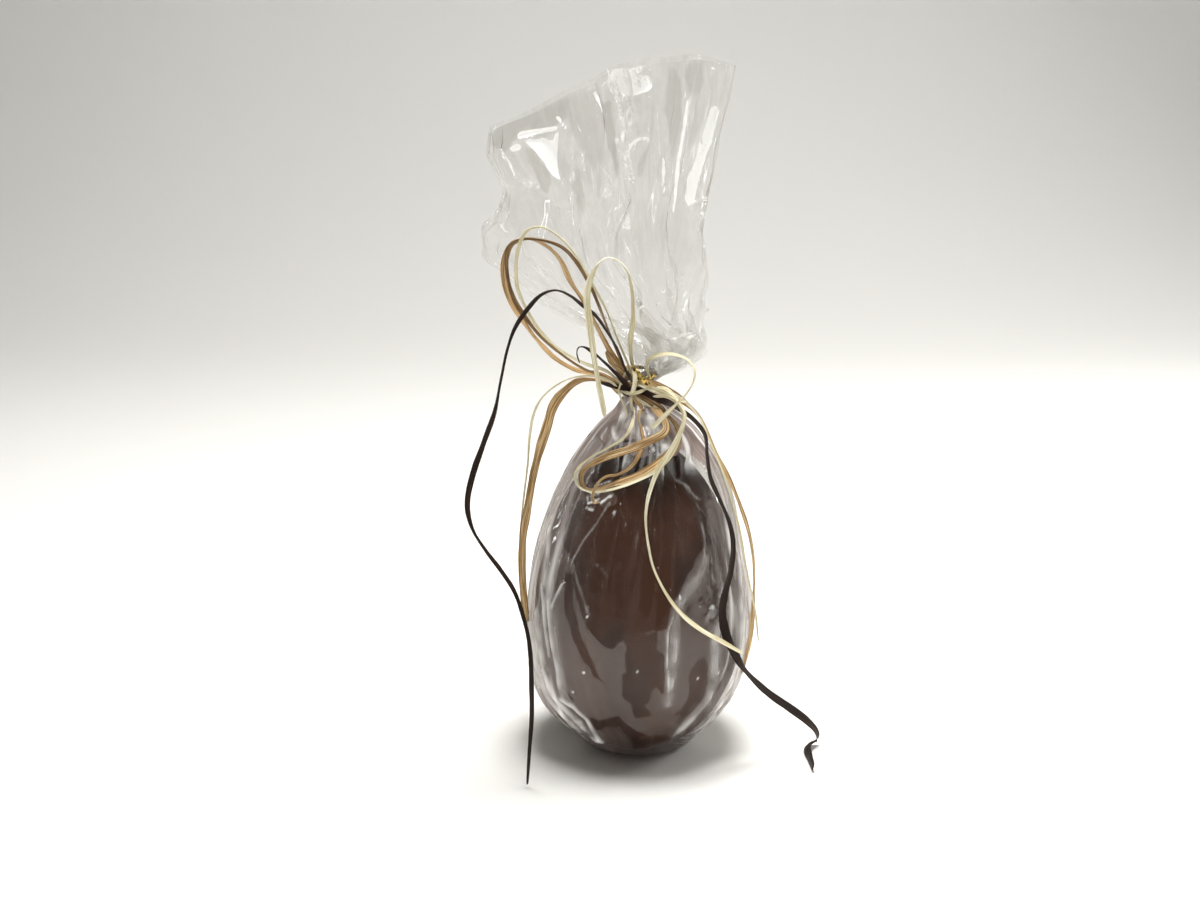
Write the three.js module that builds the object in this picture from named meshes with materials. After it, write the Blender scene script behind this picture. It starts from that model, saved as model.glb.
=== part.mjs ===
// A hollow chocolate egg in a clear film bag, gathered above the egg into a pleated crown, closed by a
// gilt twist tie and dressed with strands of raffia knotted round the neck.
//
// Millimetres, +Z up, front towards -Y. The origin is the centre of the small flat foot it stands on.
import * as THREE from 'three';

// ---- Driving dimensions -----------------------------------------------------------------------------

const FOOT_RADIUS = 14;
const NECK_RADIUS = 6;
const NECK_BOTTOM = 153;
const NECK_TOP = 168;

// Film round the egg: height, radius, sideways offset of the centre
const BODY_OUTLINE = [
  [0, FOOT_RADIUS, -2],
  [3, 20.7, -2],
  [12, 35.5, -2],
  [30, 45.4, -1],
  [60, 48.2, 0],
  [90, 43.8, 0],
  [120, 34.4, 2],
  [141, 20.6, 2],
  [NECK_BOTTOM, NECK_RADIUS, 0],
];

// Crown above the neck: height, left edge, right edge, half depth
const CROWN_OUTLINE = [
  [NECK_TOP, -NECK_RADIUS, NECK_RADIUS, NECK_RADIUS],
  [170, -8.5, 18, 7],
  [173, -12, 27, 8.5],
  [180, -21, 28.5, 11],
  [191, -37, 27, 13.5],
  [205, -56, 29, 16],
  [213, -66, 28, 17],
  [225, -66, 26, 18.5],
  [238, -61, 28, 19],
  [246, -58, 29.5, 19.5],
  [262, -66, 32.5, 20],
  [280, -63, 36, 20],
  [294, -56, 37, 20],
];

// Rim of the crown's open mouth: share of the way across from left to right, height
const CROWN_MOUTH = [
  [0, 260],
  [0.08, 267],
  [0.2, 272],
  [0.3, 278],
  [0.38, 282],
  [0.44, 283],
  [0.5, 287],
  [0.62, 292],
  [0.85, 294],
  [1, 291],
];
const MOUTH_SCALLOP = 0.8;

// The pocket inside the crown: its wall, and the height of its floor
const CROWN_WALL = 2;
const POCKET_FLOOR = 196;

// The crease between the crown's left and right lobes: where it lies across the crown, and how deep
const CREASE_PLACE = 0.44;
const CREASE_SPREAD = 0.09;
const CREASE_SHARE = 0.4;

const BAG_SEGMENTS = 64;
const BODY_ROWS = 20;
const CROWN_ROWS = 12;
const POCKET_ROWS = 7;
const BODY_PLEAT = 1.1;
const CROWN_PLEAT = 2.6;

const KNOT_HEIGHT = 158;
const KNOT_INNER_RADIUS = 6.8;
const KNOT_OUTER_RADIUS = 9;
const KNOT_TALL = 8;
const KNOT_BULGE = 5.5;

const TIE_RADIUS = 7.1;
const TIE_WIDTH = 2.2;
const TIE_THICK = 0.8;
const TIE_START_HEIGHT = 163.6;
const TIE_RISE = 3;

const STRAND_THICK = 0.8;
const LONGEST_STEP = 6.5;
const STEP_PER_WIDTH = 2.6;

// ---- Colours ----------------------------------------------------------------------------------------

const TAN = 0xc29a5c;
const CREAM = 0xe6dcae;
const BROWN = 0x3a2620;

function material(color, roughness, metalness = 0) {
  return new THREE.MeshStandardMaterial({ color, roughness, metalness });
}

// ---- Raffia: each strand is a flat ribbon along a hand laid route --------------------------------------

const STRANDS = [
  {
    name: 'loop_left_tan', width: 3.6, color: TAN,
    route: [
      [-5, -7.5, 164], [-8, -12, 168], [-13.5, -17, 179], [-22.5, -22, 198], [-28.5, -24, 208],
      [-33, -25, 217.5], [-39, -25, 223], [-45.5, -24, 225], [-51.5, -22.5, 223], [-55, -21.5, 215.5],
      [-55, -21, 208], [-53, -20, 199.5], [-48.5, -18.5, 191], [-42, -16.5, 181.5], [-34.5, -14, 173.5],
      [-26, -12.5, 168.5], [-16.5, -11.5, 166.5], [-8, -10.5, 161.5],
    ],
  },
  {
    name: 'loop_left_brown', width: 2.2, color: TAN,
    route: [
      [-4, -10.5, 165], [-7, -16, 171], [-11.5, -22, 182.5], [-15.5, -26.5, 194], [-20.5, -30, 207],
      [-25, -32, 215.5], [-31.5, -33, 223], [-39.5, -33, 226], [-47.5, -31, 226], [-53, -28.5, 222],
      [-54, -26, 213.5], [-52, -24, 202.5], [-47, -22, 193], [-40.5, -20, 184], [-32, -17.5, 176],
      [-23, -15.5, 169.5], [-15.5, -14.5, 166.5], [-8, -13, 161.5],
    ],
  },
  {
    name: 'loop_left_cream', width: 1.8, color: CREAM,
    route: [
      [-3, -13, 165], [-5.5, -19, 173], [-10.5, -25.5, 186.5], [-14.5, -30.5, 198], [-19.5, -34, 208],
      [-25.5, -37, 219.5], [-32.5, -38.5, 228], [-39.5, -38.5, 232], [-45, -37, 230.5],
      [-48.5, -34.5, 224], [-50, -32, 215.5], [-49.5, -29.5, 206], [-46, -27, 196.5],
      [-40, -24.5, 186.5], [-32, -22, 178.5], [-23, -19.5, 173], [-14.5, -17.5, 169.5],
      [-6.5, -15.5, 162],
    ],
  },
  {
    name: 'loop_centre_cream', width: 3, color: CREAM,
    route: [
      [-1, -12, 166], [-3.5, -14, 171.5], [-4.5, -17, 180.5], [-3.5, -21, 192], [-4, -26, 203.5],
      [-6, -31.5, 213], [-10, -36.5, 218.5], [-15, -41, 220], [-19.5, -44.5, 215.5], [-22, -46.5, 207],
      [-21, -46.5, 196], [-19.5, -44.5, 183.5], [-17.5, -41, 170], [-15, -36, 155.5],
    ],
  },
  {
    name: 'tail_left_brown', width: 2.8, color: BROWN,
    route: [
      [-3.5, -15.5, 164], [-6.5, -21, 171], [-9, -26, 179], [-13.5, -33, 188.5], [-18.5, -38.5, 197],
      [-23.5, -43.5, 202], [-28.5, -46, 206.5], [-34, -48, 209], [-39.5, -49, 207.5], [-45, -50, 202],
      [-50, -50.5, 194.5], [-53, -51, 186], [-55.5, -51, 174.5], [-58.5, -51, 160.5], [-63, -51, 148],
      [-67.5, -51, 134.5], [-69.5, -51, 125.5], [-69.5, -51, 119.5], [-67.5, -51, 112],
      [-62.5, -51, 103.5], [-57, -51.5, 96], [-51.5, -52, 87], [-48, -52, 76], [-45.5, -52, 63],
      [-45, -52, 48], [-45, -52, 32.5], [-46, -52, 17], [-47, -51.5, 1.6],
    ],
  },
  {
    name: 'tail_short_brown', width: 2.4, color: BROWN,
    route: [
      [-4.5, -15.5, 160.5], [-7, -19.5, 165.5], [-11, -24.5, 171], [-14.5, -29, 175.5],
      [-19.5, -34, 181], [-23, -37, 184], [-25.5, -38.5, 184], [-26, -39, 181.5], [-25, -38.5, 178],
    ],
  },
  {
    name: 'tail_left_tan', width: 4.2, color: TAN,
    route: [
      [-8.5, -8, 157], [-13.5, -7.5, 162], [-21, -6.5, 163.5], [-26, -5, 162.5], [-32, -4, 157.5],
      [-36.5, -4, 151], [-39.5, -4, 141], [-43, -4.5, 130], [-45.5, -5.5, 119.5], [-47.5, -7, 108],
      [-49.5, -9, 96.5], [-50, -11, 85.5], [-49.5, -13, 71.5], [-48, -15.5, 59.5],
    ],
  },
  {
    name: 'tail_left_cream', width: 1.5, color: CREAM,
    route: [
      [-7, -14.5, 158], [-12.5, -19.5, 165.5], [-19.5, -22, 168.5], [-27, -24, 168.5], [-33, -25.5, 166.5],
      [-39.5, -26.5, 161.5], [-43.5, -26.5, 154.5], [-45.5, -26, 144], [-46.5, -25, 132],
      [-48, -23.5, 120], [-49.5, -21.5, 107.5],
    ],
  },
  {
    name: 'tail_right_tan', width: 2.8, color: TAN,
    route: [
      [8, -8, 158.5], [14, -9.5, 156], [21, -9, 151.5], [26, -8, 145], [29.5, -7, 137],
      [32, -6.5, 131], [37, -7, 121], [42, -7, 109], [46, -7, 97], [48, -8, 86.5], [48.5, -10, 76.5],
      [48, -13.5, 67], [47, -18.5, 56], [45, -23, 47.5], [42.5, -27, 41],
    ],
  },
  {
    name: 'tail_right_cream', width: 1.5, color: CREAM,
    route: [
      [7, -11.5, 161], [12, -14, 159.5], [18, -15, 156], [24, -15, 149], [28, -15, 140],
      [31.5, -15.5, 132], [35, -16, 123.5], [38.5, -16, 112], [41.5, -16, 100], [44, -17, 87],
      [46.5, -18.5, 75.5], [48.5, -20, 65.5], [50, -22, 53.5],
    ],
  },
  {
    name: 'tail_right_brown', width: 3.6, color: BROWN,
    route: [
      [7.5, -11.5, 155.5], [10.5, -17, 156.5], [15.5, -21.5, 154.5], [21, -22, 150.5], [26, -21, 143.5],
      [27, -20.5, 134.5], [28.5, -22.5, 125], [32.5, -24, 116], [36.5, -23.5, 106], [38, -25, 97.5],
      [37, -30, 88.5], [34.5, -35, 79.5], [33.5, -37, 71.5], [35.5, -37.5, 61.5], [39, -38, 54],
      [45, -34, 43.5], [54.5, -28, 32], [64.5, -22, 22.5], [72, -17.5, 15], [76.5, -14, 8.5],
      [77.5, -11, 3], [75, -12, 2.2], [72.5, -17, 2.2], [72.5, -27, 2.2], [73, -38, 2.2],
    ],
  },
  {
    name: 'loop_front_tan', width: 3.8, color: TAN,
    route: [
      [5.5, -13, 153.5], [6.5, -20, 153.5], [10, -24.5, 149], [9.5, -27, 146.5], [3.5, -29.5, 143.5],
      [-4.5, -31, 140.5], [-13.5, -31, 137.5], [-20.5, -29.5, 133.5], [-24, -28, 130],
      [-24.5, -29, 125.5], [-22, -31.5, 123.5], [-18, -33.5, 124], [-10, -35, 127], [-2, -34.5, 129.5],
      [7, -31.5, 134.5], [13.5, -27, 139.5], [15.5, -23, 143], [14.5, -18.5, 146.5], [11.5, -14, 149.5],
      [8, -9.5, 152],
    ],
  },
  {
    name: 'loop_front_cream', width: 1.8, color: CREAM,
    route: [
      [-3.5, -12.5, 152], [-3, -19, 154], [-3, -24, 152.5], [-4.5, -30, 149], [-7.5, -33.5, 145.5],
      [-12, -35, 143], [-17, -35, 140], [-22.5, -33, 136], [-26, -31.5, 132], [-27, -31.5, 128.5],
      [-25.5, -33, 125], [-21.5, -35, 123.5], [-17, -37, 124], [-10, -38.5, 126], [-3.5, -38.5, 128.5],
      [4.5, -36.5, 132], [10, -34, 136], [14, -30.5, 141.5], [16.5, -28, 148], [17, -26, 153],
      [14.5, -24.5, 157.5], [10, -20.5, 159.5], [5, -16.5, 158.5],
    ],
  },
  {
    name: 'loop_right_cream', width: 1.6, color: CREAM,
    route: [
      [3.5, -9.5, 164.5], [2.5, -13, 169.5], [3, -17.5, 174], [6.5, -22, 177], [11, -26, 178.5],
      [16, -29, 178], [19.5, -31.5, 176], [21, -33.5, 173], [20, -36, 169], [17, -39, 165],
      [12.5, -41.5, 161], [7.5, -44, 156.5], [3.5, -46, 153],
    ],
  },
  {
    name: 'tail_front_cream', width: 2, color: CREAM,
    route: [
      [6.5, -14.5, 162], [10, -20, 162.5], [13, -26, 161], [15.5, -31, 158.5], [17, -34.5, 156],
      [16.5, -37, 153], [14, -39, 147], [10, -41, 140], [6, -42.5, 134], [3.5, -43.5, 127.5],
      [2, -43.5, 121], [1.5, -43, 113], [2.5, -44.5, 104], [4.5, -46, 95], [9, -47.5, 85.5],
      [15.5, -47.5, 76], [24, -46, 68], [33, -44.5, 62], [42, -43, 56],
    ],
  },
  {
    name: 'curl_tan', width: 2.4, color: TAN,
    route: [
      [1.5, -12, 151.5], [-0.5, -17, 152.5], [-1, -19.5, 149.5], [0, -22.5, 146], [0.5, -25.5, 142.5],
      [-0.5, -27.5, 138.5], [-2.5, -29.5, 135], [-5.5, -31, 132], [-10, -33, 130], [-14, -37, 130.5],
      [-17, -40, 129.5], [-19, -41, 126.5], [-20, -40.5, 123], [-19, -41.5, 120.5], [-17, -42.5, 121.5],
    ],
  },
];

// ---- Outlines ---------------------------------------------------------------------------------------

// A smooth curve through rows of [height, values...]
function outline(rows) {
  const heights = rows.map((row) => row[0]);
  const values = rows.flatMap((row) => row.slice(1));
  const curve = new THREE.CubicInterpolant(heights, values, rows[0].length - 1);
  return (height) => Array.from(curve.evaluate(height));
}

const bodyAt = outline(BODY_OUTLINE);
const crownAt = outline(CROWN_OUTLINE);
const mouthAt = outline(CROWN_MOUTH);

// Uneven pleats round the bag, between -1 and 1
function pleat(angle) {
  const broad = 0.35 * Math.cos(7 * angle + 1);
  const narrow = 0.65 * Math.cos(13 * angle + 0.8 * Math.sin(2 * angle));
  return broad + narrow;
}

// ---- Bag --------------------------------------------------------------------------------------------

// The film on the egg: folds gather towards the foot and towards the neck
function bodyPoint(angle, height) {
  const [radius, offset] = bodyAt(height);
  const gathered = Math.abs(height / NECK_BOTTOM - 0.45) * 2;
  const room = Math.min(1, (radius - NECK_RADIUS) / NECK_RADIUS);
  const spread = radius + BODY_PLEAT * gathered * room * pleat(angle);
  return [offset + spread * Math.cos(angle), spread * Math.sin(angle), height];
}

// 1 in the crease between the two lobes, 0 away from it
function crease(angle) {
  const across = (1 + Math.cos(angle)) / 2;
  return Math.exp(-(((across - CREASE_PLACE) / CREASE_SPREAD) ** 2));
}

// The rim climbs from the left tip to the right lobe, with a notch at the crease
function mouthHeight(angle) {
  const [edge] = mouthAt((1 + Math.cos(angle)) / 2);
  return edge + MOUTH_SCALLOP * Math.cos(11 * angle);
}

function crownPoint(angle, share) {
  const height = THREE.MathUtils.lerp(NECK_TOP, mouthHeight(angle), share);
  const [left, right, halfDepth] = crownAt(height);
  const opened = Math.min(1, share * 5);
  const gain = CROWN_PLEAT * opened * pleat(angle);
  const x = (left + right) / 2 + ((right - left) / 2 + 0.5 * gain) * Math.cos(angle);
  const y = (halfDepth * (1 - CREASE_SHARE * opened * crease(angle)) + gain) * Math.sin(angle);
  return [x, y, height];
}

// The inside of the crown, a wall's thickness in from its outside
function pocketPoint(angle, depth) {
  const floor = (POCKET_FLOOR - NECK_TOP) / (mouthHeight(angle) - NECK_TOP);
  const share = THREE.MathUtils.lerp(1, floor, depth);
  const [x, y, z] = crownPoint(angle, share);
  const [left, right, halfDepth] = crownAt(z);
  const middle = (left + right) / 2;
  const narrower = 1 - (2 * CROWN_WALL) / (right - left);
  return [middle + (x - middle) * narrower, y * (1 - CROWN_WALL / halfDepth), z];
}

// Rows of the bag from the foot's centre up to the rim, and down inside to the pocket's floor
function bagRows() {
  const rows = [(angle) => [BODY_OUTLINE[0][2], 0, 0]];
  for (let row = 0; row <= BODY_ROWS; row += 1) {
    const height = NECK_BOTTOM * (1 - Math.cos((Math.PI * row) / BODY_ROWS)) / 2;
    rows.push((angle) => bodyPoint(angle, height));
  }
  for (let row = 0; row <= CROWN_ROWS; row += 1) {
    rows.push((angle) => crownPoint(angle, (row / CROWN_ROWS) ** 1.3));
  }
  for (let row = 0; row <= POCKET_ROWS; row += 1) {
    rows.push((angle) => pocketPoint(angle, row / POCKET_ROWS));
  }
  const [left, right] = crownAt(POCKET_FLOOR);
  rows.push(() => [(left + right) / 2, 0, POCKET_FLOOR]);
  return rows;
}

// A lathe of one row per unit of height, each vertex then moved to its place on the bag
function bagGeometry() {
  const rows = bagRows();
  const last = rows.length - 1;
  const profile = rows.map((place, row) => new THREE.Vector2(row === 0 || row === last ? 0 : 1, row));
  const geometry = new THREE.LatheGeometry(profile, BAG_SEGMENTS);
  const position = geometry.attributes.position;
  for (let index = 0; index < position.count; index += 1) {
    const angle = Math.atan2(-position.getZ(index), position.getX(index));
    const row = Math.round(position.getY(index));
    position.setXYZ(index, ...rows[row](row === last ? 0 : angle));
  }
  return geometry;
}

// ---- Knot and twist tie -----------------------------------------------------------------------------

// A band of raffia round the neck, bulging into the knot at the front
function knotGeometry() {
  const middle = (KNOT_INNER_RADIUS + KNOT_OUTER_RADIUS) / 2;
  const halfThick = (KNOT_OUTER_RADIUS - KNOT_INNER_RADIUS) / 2;
  const profile = [];
  for (let step = 0; step <= 10; step += 1) {
    const turn = (2 * Math.PI * step) / 10;
    profile.push(new THREE.Vector2(
      middle + halfThick * Math.cos(turn),
      (KNOT_TALL / 2) * Math.sin(turn),
    ));
  }
  const geometry = new THREE.LatheGeometry(profile, 32);
  geometry.rotateX(Math.PI / 2);
  const position = geometry.attributes.position;
  for (let index = 0; index < position.count; index += 1) {
    const x = position.getX(index);
    const y = position.getY(index);
    const radius = Math.hypot(x, y);
    const outwards = Math.max(0, (radius - KNOT_INNER_RADIUS) / (KNOT_OUTER_RADIUS - KNOT_INNER_RADIUS));
    const fromFront = Math.atan2(x, -y);
    const grown = 1 + (KNOT_BULGE * outwards * Math.exp(-((fromFront / 0.42) ** 2))) / radius;
    position.setX(index, x * grown);
    position.setY(index, y * grown);
  }
  geometry.translate(0, 0, KNOT_HEIGHT);
  return geometry;
}

// One turn round the neck, with both ends standing out at the front right
function tieRoute() {
  const points = [new THREE.Vector3(9, -12, 166), new THREE.Vector3(6.5, -9.5, 164)];
  const turnSteps = 16;
  const startAngle = -0.85;
  for (let step = 1; step < turnSteps; step += 1) {
    const share = step / turnSteps;
    const angle = startAngle + 2 * Math.PI * share;
    const height = TIE_START_HEIGHT + TIE_RISE * share;
    points.push(new THREE.Vector3(TIE_RADIUS * Math.cos(angle), TIE_RADIUS * Math.sin(angle), height));
  }
  points.push(new THREE.Vector3(6.5, -9, 167.2), new THREE.Vector3(9, -12.5, 171));
  return points;
}

// ---- Ribbons ----------------------------------------------------------------------------------------

// A smooth route whose flat side keeps turning back towards a facing direction
class RibbonCurve extends THREE.CatmullRomCurve3 {
  constructor(points, facing) {
    super(points);
    this.facing = facing;
  }

  computeFrenetFrames(segments) {
    const tangents = [];
    const normals = [];
    const binormals = [];
    let normal = null;
    for (let step = 0; step <= segments; step += 1) {
      const tangent = this.getTangentAt(step / segments);
      const position = this.getPointAt(step / segments);
      const wanted = this.facing(position);
      wanted.addScaledVector(tangent, -wanted.dot(tangent));
      normal = normal === null ? wanted.clone() : normal.addScaledVector(wanted, 0.6);
      normal.addScaledVector(tangent, -normal.dot(tangent)).normalize();
      tangents.push(tangent);
      normals.push(normal.clone());
      binormals.push(new THREE.Vector3().crossVectors(tangent, normal));
    }
    return { tangents, normals, binormals };
  }
}

// Eight sided flat section: thickness across, width along
function stripSection(width, thick) {
  const corner = 0.3 * thick;
  const side = thick / 2;
  const edge = width / 2;
  return new THREE.Shape([
    new THREE.Vector2(side, corner - edge),
    new THREE.Vector2(side, edge - corner),
    new THREE.Vector2(side - corner, edge),
    new THREE.Vector2(corner - side, edge),
    new THREE.Vector2(-side, edge - corner),
    new THREE.Vector2(-side, corner - edge),
    new THREE.Vector2(corner - side, -edge),
    new THREE.Vector2(side - corner, -edge),
  ]);
}

function ribbonGeometry(points, width, thick, facing, step) {
  const curve = new RibbonCurve(points, facing);
  const steps = Math.round(curve.getLength() / step);
  return new THREE.ExtrudeGeometry(stripSection(width, thick), { steps, extrudePath: curve });
}

const towardsFront = () => new THREE.Vector3(0, -1, 0.15);
const awayFromNeck = (position) => new THREE.Vector3(position.x, position.y, 0).normalize();

function strandGeometry(strand) {
  const points = strand.route.map((point) => new THREE.Vector3(...point));
  const step = Math.min(LONGEST_STEP, STEP_PER_WIDTH * strand.width);
  return ribbonGeometry(points, strand.width, STRAND_THICK, towardsFront, step);
}

// ---- The whole --------------------------------------------------------------------------------------

const group = new THREE.Group();

function addPiece(name, geometry, look) {
  const mesh = new THREE.Mesh(geometry, look);
  mesh.name = name;
  group.add(mesh);
}

addPiece('bag', bagGeometry(), material(0x4a2f26, 0.25));
addPiece('raffia_knot', knotGeometry(), material(CREAM, 0.6));
addPiece(
  'twist_tie',
  ribbonGeometry(tieRoute(), TIE_WIDTH, TIE_THICK, awayFromNeck, 2),
  material(0xc9a24a, 0.3, 0.9),
);
for (const strand of STRANDS) {
  addPiece(strand.name, strandGeometry(strand), material(strand.color, 0.6));
}

export default group;
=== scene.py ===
"""A chocolate egg in a gathered film bag, closed by a gilt twist tie and dressed with raffia.

The file is laid out as an add-on. Each operator makes one piece, or one group of like pieces, round the fixed
frame that is loaded at the top. Tables and constants give the object's sizes in millimetres, and MM turns
them into metres where a mesh is made. The settings and the stage are in metres.
"""

import math

import bmesh
import bpy
import numpy as np
from bpy.props import FloatProperty, FloatVectorProperty, IntProperty, PointerProperty
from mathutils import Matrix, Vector, noise


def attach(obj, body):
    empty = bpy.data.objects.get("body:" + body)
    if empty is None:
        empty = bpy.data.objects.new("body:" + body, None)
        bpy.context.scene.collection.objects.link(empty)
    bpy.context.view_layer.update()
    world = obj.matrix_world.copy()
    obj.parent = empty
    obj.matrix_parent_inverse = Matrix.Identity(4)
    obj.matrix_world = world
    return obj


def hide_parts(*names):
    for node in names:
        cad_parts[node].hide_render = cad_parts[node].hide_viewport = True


bl_info = {
    "name": "Bagged Chocolate Egg",
    "version": (1, 0, 0),
    "blender": (4, 5, 0),
    "location": "View3D > Sidebar > Chocolate Egg",
    "description": "Builds a chocolate egg in a film bag tied with raffia",
    "category": "Add Mesh",
}

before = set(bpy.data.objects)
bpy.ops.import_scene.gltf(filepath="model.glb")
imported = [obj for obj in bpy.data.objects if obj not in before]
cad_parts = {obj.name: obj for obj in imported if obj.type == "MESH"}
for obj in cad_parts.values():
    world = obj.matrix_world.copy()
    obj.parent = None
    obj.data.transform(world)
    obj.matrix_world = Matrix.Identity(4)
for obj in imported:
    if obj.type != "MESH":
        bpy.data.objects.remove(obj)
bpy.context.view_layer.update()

MM = 0.001

# ---- Sizes, in millimetres ---------------------------------------------------------------------------------

EGG_RADIUS = 45
EGG_HEIGHT = 137
EGG_WIDEST_HEIGHT = 57
EGG_FOOT_HEIGHT = 0.6
FOOT_RADIUS = 14
BODY_RADIUS = 48
NECK_RADIUS = 4.6

# Curve of the egg under and over its widest ring: how far it reaches, and a power that makes it full or
# pointed
EGG_LOWER = (60, 0.5)
EGG_UPPER = (EGG_HEIGHT - EGG_WIDEST_HEIGHT, 0.58)

# Film round the egg, seen from the front: height, radius, sideways offset of the centre
BODY_OUTLINE = [
    (0, 14, -2), (3, 20.7, -2), (12, 35.5, -2), (30, 45.4, -1), (60, 48.2, 0), (90, 43.8, 0),
    (120, 34.4, 2), (141, 20.6, 2), (153, 6, 0),
]

# Crown of the bag: height, left edge, right edge, half depth
CROWN_EDGES = [
    (160, -6, 6, 6), (163, -6, 11, 6), (166, -6.5, 21, 6.5), (170, -8.5, 27.5, 7.5), (173, -12, 29, 8.5),
    (180, -21, 28.5, 11), (191, -37, 27, 13.5),
    (205, -56, 29, 16), (213, -66, 28, 17), (225, -66, 26, 18.5), (238, -61, 28, 19),
    (246, -58, 29.5, 19.5), (262, -66, 32.5, 20), (280, -63, 36, 20), (294, -56, 37, 20),
]

# Edge of the crown's mouth: place across, height
CROWN_MOUTH = [
    (-67, 259), (-63, 264), (-58, 267), (-45, 272), (-35, 278), (-27, 282), (-19, 285), (-13, 289), (0, 292),
    (21, 294), (37, 291),
]

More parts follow.
